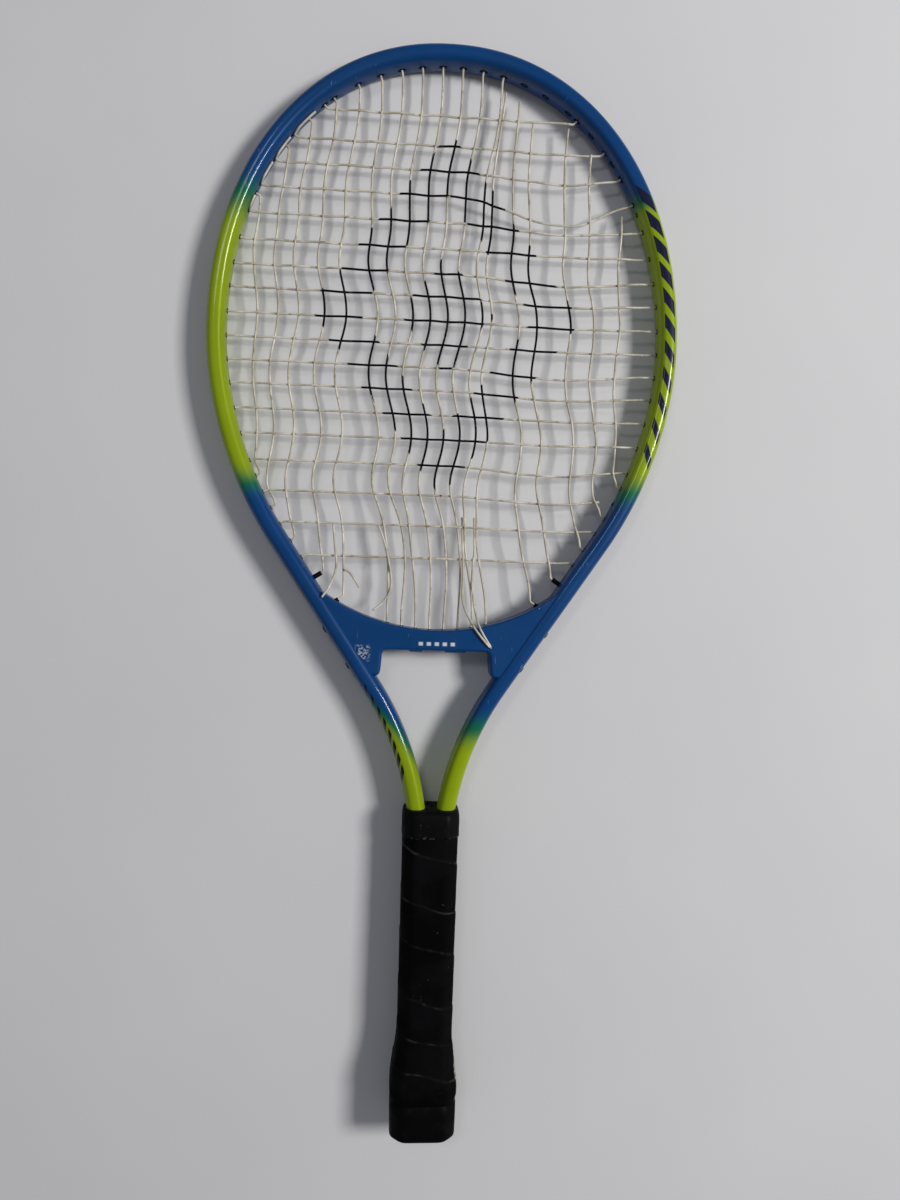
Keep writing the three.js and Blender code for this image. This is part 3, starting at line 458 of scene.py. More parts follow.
class Shader:
    """One procedural material. Values are numbers, colours or node outputs."""

    def __init__(self, name, metallic=0.0):
        self.material = bpy.data.materials.new(name)
        self.material.use_nodes = True
        self.tree = self.material.node_tree
        self.surface = self.tree.nodes["Principled BSDF"]
        self.place = self.tree.nodes.new("ShaderNodeTexCoord").outputs["Object"]
        self.x, self.y, self.z = self.split(self.place)
        self.set("Metallic", metallic)

    def put(self, socket, value):
        if isinstance(value, bpy.types.NodeSocket):
            self.tree.links.new(value, socket)
        elif socket.type == "RGBA" and len(value) == 3:
            socket.default_value = (*value, 1)
        else:
            socket.default_value = value

    def set(self, name, value):
        self.put(self.surface.inputs[name], value)
        return self

    def add(self, kind, inputs, **settings):
        node = self.tree.nodes.new(kind)
        for key, value in settings.items():
            setattr(node, key, value)
        for key, value in inputs.items():
            self.put(node.inputs[key], value)
        return node

    def split(self, vector):
        return self.add("ShaderNodeSeparateXYZ", {"Vector": vector}).outputs

    def uv(self):
        """The two coordinates of the piece's map."""
        return self.split(self.add("ShaderNodeUVMap", {}, uv_map="Along").outputs[0])[:2]

    def math(self, operation, a, b=0.0):
        return self.add("ShaderNodeMath", {0: a, 1: b}, operation=operation).outputs[0]

    def plus(self, a, b):
        return self.math("ADD", a, b)

    def minus(self, a, b):
        return self.math("SUBTRACT", a, b)

    def over(self, a, b):
        return self.math("DIVIDE", a, b)

    def either(self, a, b):
        return self.math("MAXIMUM", a, b)

    def times(self, product, *factors):
        for factor in factors:
            product = self.math("MULTIPLY", product, factor)
        return product

    def noise(self, scale, detail, stretch=None):
        vector = self.place
        if stretch:
            vector = self.add("ShaderNodeMapping", {"Vector": vector, "Scale": stretch}).outputs[0]
        inputs = {"Vector": vector, "Scale": scale, "Detail": detail, "Roughness": NOISE_ROUGHNESS}
        return self.add("ShaderNodeTexNoise", inputs).outputs["Fac"]

    def wobble(self, scale, detail, reach):
        """Noise that swings to both sides of zero."""
        return self.times(self.minus(self.noise(scale, detail), 0.5), reach)

    def step(self, value, low, high, out_low=0.0, out_high=1.0):
        """Goes smoothly from out_low to out_high as the value goes from low to high."""
        inputs = {"Value": value, "From Min": low, "From Max": high, "To Min": out_low, "To Max": out_high}
        return self.add("ShaderNodeMapRange", inputs, interpolation_type="SMOOTHSTEP").outputs[0]

    def spots(self, pattern, out_low=0.0, out_high=1.0, stretch=None):
        """Noise turned into patches. A pattern is its scale, its detail, and step()'s low and high."""
        scale, detail, low, high = pattern
        return self.step(self.noise(scale, detail, stretch), low, high, out_low, out_high)

    def inside(self, value, low, high, edge):
        """1 between low and high, with soft edges."""
        rise = self.step(value, low - edge, low + edge)
        fall = self.step(value, high - edge, high + edge, 1.0, 0.0)
        return self.times(rise, fall)

    def band(self, heights, edge):
        """1 between two drawn heights, with soft edges in metres."""
        low, high = heights
        return self.inside(self.y, frame_y(low), frame_y(high), edge)

    def mix(self, amount, a, b, blend="MIX"):
        node = self.add("ShaderNodeMix", {}, data_type="RGBA", blend_type=blend)
        for index, value in ((0, amount), (6, a), (7, b)):
            self.put(node.inputs[index], value)
        return node.outputs[2]

    def relief(self, height, strength, depth):
        """Bumps from a height, with their strength and their depth in metres."""
        inputs = {"Height": height, "Strength": strength, "Distance": depth}
        return self.set("Normal", self.add("ShaderNodeBump", inputs).outputs[0])


# ------------------------------------------------------------------ paint

BLUE = (0.001, 0.048, 0.18)
TEAL = (0.004, 0.13, 0.06)
GREEN = (0.26, 0.355, 0.001)
NAVY = (0.006, 0.007, 0.035)
INK = (0.003, 0.003, 0.004)
WHITE_PRINT = (0.6, 0.64, 0.66)
SCRATCHED = (0.35, 0.4, 0.43)
CHIPPED = (0.45, 0.46, 0.45)
GRIMY = (0.84, 0.84, 0.84)
CLEAN = (1.0, 1.0, 1.0)

# Drawn heights between which the paint fades: the head's upper end on the left (-1) and on the right
# (1), its lower end, and the arms. The fade on the left arm leans across the tube by ARM_FADE_LEAN, and
# all the fades waver by FADE_WOBBLE. MIDDLE_SEAM is half of the width over which the left side's fade
# gives way to the right side's. These three are in metres.
FADE_TOP = {-1: (562, 610), 1: (584, 608)}
FADE_LOWER = (402, 434)
FADE_ARM = (250, 288)
ARM_FADE_LEAN = 0.018
FADE_WOBBLE = 0.012
MIDDLE_SEAM = 0.001

PAINT_METALLIC = 0.05
PAINT_SPECULAR = 0.12
GRIME = (14, 4, 0.3, 0.7)
SCRATCHES = (520, 2, 0.71, 0.75)
SCRATCH_STRETCH = (1.0, 0.12, 1.0)
CHIPS = (310, 3, 0.765, 0.775)
GLOSS = (45, 3, 0.3, 0.75)


def fade(shader, height, ends, out_low, out_high):
    low, high = ends
    return shader.step(height, frame_y(low), frame_y(high), out_low, out_high)


def paint_colour(shader, around):
    """Blue at the tip and the bridge, yellow-green along the head's sides and near the handle."""
    height = shader.plus(shader.y, shader.wobble(22, 2, FADE_WOBBLE))
    left = shader.step(shader.x, -MIDDLE_SEAM, MIDDLE_SEAM, 1.0, 0.0)
    outward = shader.math("COSINE", shader.times(around, 2 * math.pi))
    arm_height = shader.minus(height, shader.times(outward, left, ARM_FADE_LEAN))
    below_left, below_right = (fade(shader, height, FADE_TOP[side], 1.0, 0.0) for side in (-1, 1))
    right_part = shader.times(below_right, shader.minus(1.0, left))
    below_tip = shader.plus(shader.times(below_left, left), right_part)
    sides = shader.times(below_tip, fade(shader, height, FADE_LOWER, 0.0, 1.0))
    amount = shader.either(sides, fade(shader, arm_height, FADE_ARM, 1.0, 0.0))
    dark_part = shader.mix(shader.step(amount, 0.0, 0.5), BLUE, TEAL)
    return shader.mix(shader.step(amount, 0.4, 1.0), dark_part, GREEN)


def wear_paint(shader, colour, roughness, coat, coat_roughness):
    """Gives a paint its grime, fine scratches and chips, its uneven gloss and its clear coat."""
    colour = shader.mix(1.0, colour, shader.mix(shader.spots(GRIME), GRIMY, CLEAN), blend="MULTIPLY")
    scratches = shader.spots(SCRATCHES, 0.0, 0.2, stretch=SCRATCH_STRETCH)
    chips = shader.spots(CHIPS)
    shader.set("Base Color", shader.mix(chips, shader.mix(scratches, colour, SCRATCHED), CHIPPED))
    gloss = shader.spots(GLOSS, roughness, roughness + 0.16)
    shader.set("Roughness", shader.plus(gloss, shader.times(scratches, 0.5)))
    orange_peel = shader.times(shader.noise(900, 1), 0.35)
    shader.relief(shader.minus(orange_peel, shader.times(chips, 1.5)), 0.25, 0.00008)
    shader.set("Specular IOR Level", PAINT_SPECULAR)
    shader.set("Coat Weight", coat).set("Coat Roughness", coat_roughness)
    return shader.material


# Rows of slanted bars on the tube: between two drawn heights, and two places round its section, where
# 0 faces out of the head and 0.25 faces front. The period and the slant are in metres.
HEAD_BARS = {"side": 1, "heights": (604, 433), "around": (0.165, 0.335), "period": 0.0165, "slant": 0.010}
ARM_BARS = {"side": -1, "heights": (238, 294), "around": (0.06, 0.185), "period": 0.0085, "slant": -0.009}
BAR_SHARE = (0.74, 0.46)


def bars(shader, along, around, row):
    """Slanted blocks in a row along the tube, each a little shorter than the one before."""
    first, last = (arc_at_height(y, row["side"]) * UNIT for y in row["heights"])
    low, high = row["around"]
    lean = shader.times(shader.minus(around, (low + high) / 2), row["slant"] / (high - low))
    shifted = shader.plus(along, lean)
    turn = shader.math("FRACT", shader.over(shader.minus(shifted, first), row["period"]))
    length = shader.step(shifted, first, last, *BAR_SHARE)
    rise = shader.step(turn, 0.03, 0.07)
    fall = shader.minus(1.0, shader.step(shader.minus(turn, length), -0.02, 0.02))
    strip = shader.inside(around, low, high, 0.006)
    return shader.times(rise, fall, strip, shader.inside(shifted, first, last, 0.0004))


def tube_paint():
    shader = Shader("tube_paint", metallic=PAINT_METALLIC)
    along, around = shader.uv()
    colour = shader.mix(bars(shader, along, around, HEAD_BARS), paint_colour(shader, around), NAVY)
    colour = shader.mix(bars(shader, along, around, ARM_BARS), colour, INK)
    return wear_paint(shader, colour, roughness=0.3, coat=0.35, coat_roughness=0.06)


# Marks on the bridge's front: x in metres, heights as drawn.
DASH_START_X = -0.012
DASH_PERIOD = 0.005
DASH_COUNT = 5
DASH_SHARE = (0.18, 0.72)
DASH_HEIGHTS = (320.4, 322.6)
PALE_PATCH_X = (-0.0500, -0.0415)
PALE_PATCH_HEIGHTS = (310.5, 319.5)
PALE_PATCH_GRAIN = (620, 4, 0.49, 0.56)
PALE_PATCH_STRENGTH = 0.6


def bridge_paint():
    """Blue, with a row of plain white dashes in the middle and a grainy whitish patch over the left foot."""
    shader = Shader("bridge_paint", metallic=PAINT_METALLIC)
    front = shader.step(shader.z, PLANE_Z + 6 * UNIT, PLANE_Z + 7 * UNIT)
    turn = shader.math("FRACT", shader.over(shader.minus(shader.x, DASH_START_X), DASH_PERIOD))
    dash = shader.inside(turn, *DASH_SHARE, 0.05)
    row = shader.inside(shader.x, DASH_START_X, DASH_START_X + DASH_COUNT * DASH_PERIOD, 0.0001)
    dashes = shader.times(dash, row, shader.band(DASH_HEIGHTS, 0.00015), front)
    patch = shader.times(shader.inside(shader.x, *PALE_PATCH_X, 0.0012), shader.band(PALE_PATCH_HEIGHTS, 0.0015), front)
    # A grainy whitish patch is mixed into the colour over the left foot.
    pale_patch = shader.times(patch, shader.spots(PALE_PATCH_GRAIN), PALE_PATCH_STRENGTH)
    colour = shader.mix(pale_patch, shader.mix(dashes, BLUE, WHITE_PRINT), WHITE_PRINT)
    return wear_paint(shader, colour, roughness=0.36, coat=0.25, coat_roughness=0.1)


# ------------------------------------------------------------------ other materials

PLASTIC_DUST = (0.03, 0.03, 0.029)
PLASTIC_SPECULAR = 0.04
DUST_ON_PLASTIC = (160, 5, 0.55, 0.8)
PLASTIC_GLOSS = (60, 3, 0.3, 0.7)


def black_plastic(name, base, roughness):
    shader = Shader(name)
    dust = shader.spots(DUST_ON_PLASTIC, 0.0, 0.2)
    shader.set("Base Color", shader.mix(dust, (base, base, base * 1.1), PLASTIC_DUST))
    shader.set("Roughness", shader.spots(PLASTIC_GLOSS, roughness, roughness + 0.25))
    shader.set("Specular IOR Level", PLASTIC_SPECULAR)
    shader.relief(shader.noise(1500, 3), 0.3, 0.00006)
    return shader.material


RUST_BROWN = (0.12, 0.06, 0.03)
RUST = (700, 4, 0.58, 0.7)
STEEL_GLOSS = (900, 3, 0.3, 0.7)


def steel(name, colour, roughness):
    shader = Shader(name, metallic=0.9)
    shader.set("Base Color", shader.mix(shader.spots(RUST, 0.0, 0.6), colour, RUST_BROWN))
    shader.set("Roughness", shader.spots(STEEL_GLOSS, roughness, roughness + 0.3))
    shader.relief(shader.noise(1200, 2), 0.3, 0.00005)
    return shader.material


NYLON = (0.40, 0.36, 0.27)
NYLON_CLEAN = (0.68, 0.64, 0.54)
NYLON_GRIMY = (0.17, 0.14, 0.095)
NYLON_CLOUDS = (90, 4, 0.35, 0.7)
NYLON_GRIME = (230, 3, 0.56, 0.72)
NYLON_GLOSS = (300, 2, 0.3, 0.7)
NYLON_SPECULAR = 0.45
INK_DULLS = 0.4
INK_WEAR = (600, 3, 0.3, 0.36)

# The inked figure: a ring in the shape of a diamond, with a solid diamond inside it.
FIGURE_CENTRE_Y = 524
FIGURE_HALF = (84, 112)
FIGURE_RING = (0.64, 1.0)
FIGURE_HEART = 0.34
FIGURE_EDGE = 0.006
FIGURE_WOBBLE = 0.12


def string_nylon():
    """Aged cream nylon, with the figure inked on it."""
    shader = Shader("string_nylon")
    colour = shader.mix(shader.spots(NYLON_CLOUDS), NYLON, NYLON_CLEAN)
    colour = shader.mix(shader.spots(NYLON_GRIME, 0.0, 0.6), colour, NYLON_GRIMY)
    from_centre = (shader.x, shader.minus(shader.y, frame_y(FIGURE_CENTRE_Y)))
    x, y = (
        shader.over(shader.math("ABSOLUTE", distance), half * UNIT)
        for distance, half in zip(from_centre, FIGURE_HALF)
    )
    radius = shader.plus(shader.plus(x, y), shader.wobble(120, 3, FIGURE_WOBBLE))
    ring = shader.inside(radius, *FIGURE_RING, FIGURE_EDGE)
    heart = shader.step(radius, FIGURE_HEART - FIGURE_EDGE, FIGURE_HEART + FIGURE_EDGE, 1.0, 0.0)
    ink = shader.times(shader.either(ring, heart), shader.spots(INK_WEAR, 0.8, 1.0))
    shader.set("Base Color", shader.mix(ink, colour, INK))
    shader.set("Specular IOR Level", shader.minus(NYLON_SPECULAR, shader.times(ink, INK_DULLS)))
    shader.set("Roughness", shader.spots(NYLON_GLOSS, 0.28, 0.5))
    shader.relief(shader.noise(2200, 2), 0.25, 0.00005)
    return shader.material


GRIP_BLACK = (0.0015, 0.0015, 0.0015)
GRIP_FADED = (0.0038, 0.0038, 0.0045)
GRIP_DUST_AND_HIGHLIGHT = (0.09, 0.09, 0.085)
GRIP_BARE = (0.36, 0.33, 0.27)
GRIP_SPECULAR = 0.025
GRIP_CLOUDS = (40, 4, 0.35, 0.7)
GRIP_GLOSS = (70, 3, 0.3, 0.7)
SEAM_DUST_AND_HIGHLIGHT = (95, 4, 0.45, 0.66)
SEAM_RISE = (0.955, 0.985)
SEAM_FALL = (0.0, 0.02)
SPECKS = (420, 3, 0.735, 0.76)

# The worn strip on the flare's right side: x and z in metres, heights as drawn.
BARE_X = (0.0186, 0.0192)
BARE_HEIGHTS = (37, 60)
BARE_Z = (PLANE_Z + 0.0055, PLANE_Z + 0.011)
BARE_WOBBLE = 0.004


def grip_rubber():
    """Black, with a leathery grain, seams lightened by dust and a painted highlight, and one worn, pale strip
    at the flare's right edge.
    """
    shader = Shader("grip_rubber")
    phase = shader.math("FRACT", shader.uv()[0])
    # The lapped edges at the seams are lightened as dust and as a painted highlight; the specks are dust.
    seam = shader.either(shader.step(phase, *SEAM_RISE), shader.step(phase, *SEAM_FALL, 1.0, 0.0))
    seam_dust_and_highlight = shader.times(seam, shader.spots(SEAM_DUST_AND_HIGHLIGHT, 0.08, 1.0), 0.26)
    dust = shader.either(seam_dust_and_highlight, shader.spots(SPECKS, 0.0, 0.5))
    colour = shader.mix(shader.spots(GRIP_CLOUDS), GRIP_BLACK, GRIP_FADED)
    colour = shader.mix(dust, colour, GRIP_DUST_AND_HIGHLIGHT)
    ragged = shader.wobble(170, 3, BARE_WOBBLE)
    bare_x = shader.step(shader.plus(shader.x, ragged), *BARE_X)
    bare_z = shader.inside(shader.plus(shader.z, ragged), *BARE_Z, 0.0006)
    bare = shader.times(bare_x, shader.band(BARE_HEIGHTS, 0.003), bare_z, 0.8)
    shader.set("Base Color", shader.mix(bare, colour, GRIP_BARE))
    shader.set("Specular IOR Level", GRIP_SPECULAR)
    shader.set("Roughness", shader.spots(GRIP_GLOSS, 0.5, 0.78))
    cells = shader.add("ShaderNodeTexVoronoi", {"Vector": shader.place, "Scale": 1300.0}).outputs["Distance"]
    shader.relief(shader.plus(shader.times(cells, 0.7), shader.noise(700, 4)), 0.35, 0.00012)
    return shader.material


TAPE_BLACK = (0.0028, 0.003, 0.0028)
TAPE_DUSTY = (0.06, 0.06, 0.06)
TAPE_SPECULAR = 0.05
TAPE_GLOSS = (80, 3, 0.3, 0.7)
TAPE_DUST = (330, 4, 0.64, 0.74)
TAPE_LINT = (500, 3, 0.56, 0.6)
TAPE_HEM = 0.0012
CREASE_STRETCH = (1.0, 5.0, 1.0)


def tape_vinyl():
    """Black vinyl with fine creases, and lint along its lower hem."""
    shader = Shader("tape_vinyl")
    hem = shader.inside(shader.y, TAPE_LOW[1], TAPE_LOW[1] + TAPE_HEM, 0.0003)
    lint = shader.times(hem, shader.spots(TAPE_LINT, 0.0, 0.8))
    dust = shader.either(shader.spots(TAPE_DUST, 0.0, 0.5), lint)
    shader.set("Base Color", shader.mix(dust, TAPE_BLACK, TAPE_DUSTY))
    shader.set("Specular IOR Level", TAPE_SPECULAR)
    shader.set("Roughness", shader.spots(TAPE_GLOSS, 0.4, 0.6))
    shader.relief(shader.noise(120, 3, stretch=CREASE_STRETCH), 0.3, 0.0003)
    return shader.material


FOAM_DARK = (0.05, 0.05, 0.05)
FOAM_LIGHT = (0.09, 0.09, 0.085)
FOAM_GLOSS = (90, 2, 0.3, 0.7)


def pallet_foam():
    shader = Shader("pallet_foam")
    shader.set("Base Color", shader.mix(shader.noise(200, 3), FOAM_DARK, FOAM_LIGHT))
    shader.set("Roughness", shader.spots(FOAM_GLOSS, 0.7, 0.9))
    shader.relief(shader.noise(900, 3), 0.5, 0.0002)
    return shader.material


CARD_DARK = (0.60, 0.595, 0.61)
CARD_LIGHT = (0.66, 0.655, 0.665)


def floor_card():
    shader = Shader("floor_card")
    shader.set("Base Color", shader.mix(shader.noise(6, 3), CARD_DARK, CARD_LIGHT))
    shader.set("Roughness", 0.9)
    shader.relief(shader.noise(500, 3), 0.2, 0.0002)
    return shader.material


# ------------------------------------------------------------------ pieces of the frame

def finish_piece(piece, material, node):
    """Gives a piece its material, parents it to the root body, and hides the node of the part it replaces."""
    piece.data.materials.append(material)
    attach(piece, "root")
    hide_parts(node)


SECTION_POWER = 2.7
SECTION_STEPS = 44
SECTION_START = math.radians(15)
GROOVE_SIDE = [
    (GROOVE_FLOOR, GROOVE_HALF_WIDTH - 0.7), (GROOVE_FLOOR + 0.25, GROOVE_HALF_WIDTH - 0.15),
    (5.1, GROOVE_HALF_WIDTH), (5.5, GROOVE_HALF_WIDTH + 0.12),
]


def tube_section():
    """Points of the tube's section as (outward, height): a rounded box with its groove."""
    round_part = []
    for angle in spread(SECTION_START, 2 * math.pi - SECTION_START, SECTION_STEPS):
        c, s = math.cos(angle), math.sin(angle)
        u = TUBE_HALF_WIDTH * math.copysign(abs(c) ** (2 / SECTION_POWER), c)
        h = TUBE_HALF_DEPTH * math.copysign(abs(s) ** (2 / SECTION_POWER), s)
        round_part.append((u, h))
    return GROOVE_SIDE + round_part + [(u, -h) for u, h in reversed(GROOVE_SIDE)]


def section_turn(section):
    """How far round each point of the section is: 0.25 faces front, 0.5 faces into the head."""
    return [(math.atan2(h / TUBE_HALF_DEPTH, u / TUBE_HALF_WIDTH) / (2 * math.pi)) % 1 for u, h in section]


def sleeve_faces(count, rows):
    """The faces between rows of points round a sleeve, and then its two flat ends."""
    faces = []
    for here in range(0, (rows - 1) * count, count):
        there = here + count
        for j in range(count):
            k = (j + 1) % count
            faces.append((here + j, there + j, there + k, here + k))
    last = (rows - 1) * count
    return faces + [tuple(range(count)), tuple(last + j for j in reversed(range(count)))]


def frame_tube(material):
    """The tube's section carried round the frame, with a map of its length and its turn."""
    section = tube_section()
    turns = section_turn(section)
    count = len(section)
    vertices = []
    for centre, outward in zip(CENTRE_LINE, OUTWARD):
        for u, h in section:
            p = centre + outward * u
            vertices.append((p.x, p.y, h))
    faces = sleeve_faces(count, len(CENTRE_LINE))
    uvs = []
    for i in range(len(CENTRE_LINE) - 1):
        for j in range(count):
            a, b = turns[j], turns[(j + 1) % count]
            if abs(a - b) > 0.5:
                a, b = (a - 1, b) if a > b else (a, b - 1)
            s0, s1 = ARC[i] * UNIT, ARC[i + 1] * UNIT
            uvs.append(((s0, a), (s1, a), (s1, b), (s0, b)))
    uvs += [((0.0, 0.0),) * count] * 2
    tube = mesh_object("racket_tube", vertices, faces, uvs)
    finish_piece(tube, material, "frame_tube")


def arm_x(y):
    return frame_at(arc_at_height(y, 1))[0].x


BRIDGE_HORN_X = 76
BRIDGE_BEVEL = 2.0
BRIDGE_CORNER = 3.2
LUG_END_Y = BRIDGE_FOOT_Y + 1.2
LUG_WIDTH = 5.2
LUG_CORNER = 3.4
HORN_BEVEL_FADE = 14
BRIDGE_TOP_STEPS = 60
BEVEL_STEPS = 6


def bridge_right_half():
    """From the middle of the lower edge round the lug and up to the horn: (point, bevel share)."""
    corner = Vector((BRIDGE_BOTTOM_HALF, BRIDGE_BOTTOM_Y))
    start = corner - Vector((BRIDGE_CORNER, 0))
    wall = corner - Vector((-0.3, BRIDGE_CORNER))
    lug_x = arm_x(LUG_END_Y) - TUBE_HALF_WIDTH / math.cos(ARM_ANGLE) - LUG_WIDTH + 2.6
    lug_side = Vector((lug_x, LUG_END_Y + LUG_CORNER))
    lug_tip = Vector((lug_x + LUG_CORNER, LUG_END_Y))
    shown = [start]
    shown += quadratic(start, corner, wall, 6)
    shown += quadratic(wall, Vector((BRIDGE_BOTTOM_HALF + 0.6, BRIDGE_BOTTOM_Y - 9)), lug_side, 6)
    shown += quadratic(lug_side, Vector((lug_x + 0.5, LUG_END_Y)), lug_tip, 5)
    hidden = [Vector((arm_x(LUG_END_Y), LUG_END_Y))]
    horn_y = bridge_top_at(BRIDGE_HORN_X)
    hidden.append(Vector((arm_x(horn_y), horn_y)))
    return [(p, 1.0) for p in shown] + [(p, 0.0) for p in hidden]


def bridge_outline():
    """The bridge's outline, anticlockwise, each point with its share of the bevel."""
    right = bridge_right_half()
    arc = []
    for x in spread(BRIDGE_HORN_X, -BRIDGE_HORN_X, BRIDGE_TOP_STEPS):
        share = smooth(BRIDGE_HORN_X, BRIDGE_HORN_X - HORN_BEVEL_FADE, abs(x))
        arc.append((Vector((x, bridge_top_at(x))), share))
    left = [(Vector((-p.x, p.y)), share) for p, share in reversed(right)]
    return right + arc + left


def inward_at(points, i):
    """The direction into an outline at one of its points."""
    into = (points[i] - points[i - 1]).normalized()
    out = (points[(i + 1) % len(points)] - points[i]).normalized()
    return Vector((-(into.y + out.y), into.x + out.x)).normalized()


def throat_bridge(material):
    """The outline carried through the depth, with its front and back edges rounded."""
    outline, shares = zip(*bridge_outline())
    count = len(outline)
    inward = [inward_at(outline, i) * share for i, share in enumerate(shares)]
    rings = []
    for angle in spread(0, math.pi / 2, BEVEL_STEPS):
        height = BRIDGE_BEVEL * (1 - math.cos(angle)) - BRIDGE_HALF_DEPTH
        rings.append((BRIDGE_BEVEL * (1 - math.sin(angle)), height))
    rings += [(inset, -height) for inset, height in reversed(rings)]
    vertices = []
    for inset, height in rings:
        for p, n in zip(outline, inward):
            q = p + n * inset
            vertices.append((q.x, q.y, height))
    faces = []
    for i in range(len(rings) - 1):
        for j in range(count):
            k = (j + 1) % count
            faces.append((i * count + j, i * count + k, (i + 1) * count + k, (i + 1) * count + j))
    skin_end = len(faces)
    last = (len(rings) - 1) * count
    for a, b, c in tessellate_polygon([[Vector(v) for v in vertices[:count]]]):
        back = anticlockwise(vertices, a, b, c)
        faces.append(back[::-1])
        faces.append(tuple(last + j for j in back))
    add_ribs(vertices, faces)
    bridge = mesh_object("moulded_bridge", vertices, faces, flat_faces=range(skin_end, len(faces)))
    finish_piece(bridge, material, "throat_bridge")


def anticlockwise(vertices, a, b, c):
    """A triangle's corners in the order that faces it to the front."""
    (ax, ay, _), (bx, by, _), (cx, cy, _) = vertices[a], vertices[b], vertices[c]
    area = (bx - ax) * (cy - ay) - (by - ay) * (cx - ax)
    return (a, b, c) if area > 0 else (a, c, b)


RIB_SPANS = [(-17, -8), (5, 19)]
RIB_DROP = 1.1
RIB_HALF_DEPTH = 4.4


def add_ribs(vertices, faces):
    """Two low ribs under the bridge, which guard the strings where they turn."""
    for first, last in RIB_SPANS:
        base = len(vertices)
        for x, drop in ((first, 0), (first + 1, RIB_DROP), (last - 1, RIB_DROP), (last, 0)):
            low, high = BRIDGE_BOTTOM_Y - drop, BRIDGE_BOTTOM_Y + 1
            vertices += [(x, low, RIB_HALF_DEPTH), (x, high, RIB_HALF_DEPTH)]
            vertices += [(x, high, -RIB_HALF_DEPTH), (x, low, -RIB_HALF_DEPTH)]
        for i in range(3):
            for j in range(4):
                a, b = base + 4 * i + j, base + 4 * i + (j + 1) % 4
                faces.append((a, a + 4, b + 4, b))
        faces.append(tuple(base + j for j in range(4)))
        faces.append(tuple(base + 12 + j for j in reversed(range(4))))


# A rivet from its inner end to its domed head, as (outward, radius), and where its place is measured.
RIVET_PROFILE = [
    (-8.5, 1.1), (-8.2, 1.4), (3.4, 1.2), (3.4, 2.3), (5.9, 2.3), (6.4, 2.1), (6.65, 1.5), (6.7, 0.5),
]
RIVET_MIDDLE = -2.5
RIVET_SEARCH = [d / 4 for d in range(-60, 60)]


def rivets(material):
    for side, hand in ((-1, "left"), (1, "right")):
        for level in ("upper", "lower"):
            node = f"bridge_rivet_{level}_{hand}"
            low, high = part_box(node)
            centre_y = drawn_y((low[1] + high[1]) / 2)
            station = side * min(
                (arc_at_height(centre_y + d, 1) for d in RIVET_SEARCH),
                key=lambda s: abs(on_frame(s, RIVET_MIDDLE, 0).y - centre_y),
            )
            builder = Builder()
            turned(builder, station, RIVET_PROFILE)
            finish_piece(builder.object(f"rivet_{level}_{hand}"), material, node)


# ------------------------------------------------------------------ grommets

STRIP_SIDE = [(STRIP_BOTTOM, 2.3), (STRIP_BOTTOM + 0.2, 2.5), (STRIP_TOP - 0.25, 2.5), (STRIP_TOP, 2.2)]
STRIP_STEP = 4
BARREL_BORE = 0.95
BARREL_RADIUS = 1.45
BARREL_RIM = 1.2


def add_strip(builder, first, last):
    """A strip with rounded edges in the frame's groove, from one station to another."""
    section = [(u, -h) for u, h in STRIP_SIDE] + STRIP_SIDE[::-1]
    steps = max(4, int(abs(last - first) / STRIP_STEP))
    builder.rings([[on_frame(s, u, h) for u, h in section] for s in spread(first, last, steps)])


def add_barrel(builder, station, reach, mouth):
    """A barrel through the tube, open for its string, with an oval mouth against the inner wall."""
    wall = -TUBE_HALF_WIDTH
    profile = [
        (-reach + 0.15, 1.1, 1.1), (-reach, 1.25, 1.25), (-reach + 0.25, BARREL_RADIUS, BARREL_RADIUS),
        (wall - 0.2, 1.5, 1.5), (wall - 0.15, mouth - 0.2, 1.5), (wall + 0.1, mouth, 1.7),
        (wall + 0.5, mouth, 1.7), (wall + 0.6, BARREL_RADIUS, BARREL_RADIUS),
        (STRIP_TOP - 0.2, BARREL_RADIUS, BARREL_RADIUS), (STRIP_TOP + 0.1, BARREL_RIM, BARREL_RIM),
        (STRIP_TOP + 0.05, BARREL_BORE, BARREL_BORE), (-reach + 0.2, BARREL_BORE, BARREL_BORE),
    ]
    builder.rings([oval_ring(station, *row) for row in profile], closed=True)


SHORT_REACH = TUBE_HALF_WIDTH + 0.35
SIDE_MOUTH = 1.7
TOP_MOUTH = 2.7
THROAT_BARREL_END = {5: 11.2, 6: 11.1}
STRIP_MARGIN = 3.4
HEAD_STRIP_CROSSES = 3


def strip_piece(name, node, reaches, material, mouth=SIDE_MOUTH):
    """A strip with its barrels. reaches holds how far inwards the barrel at each station goes."""
    builder = Builder()
    add_strip(builder, min(reaches) - STRIP_MARGIN, max(reaches) + STRIP_MARGIN)
    for station, reach in reaches.items():
        add_barrel(builder, station, reach, mouth)
    finish_piece(builder.object(name), material, node)


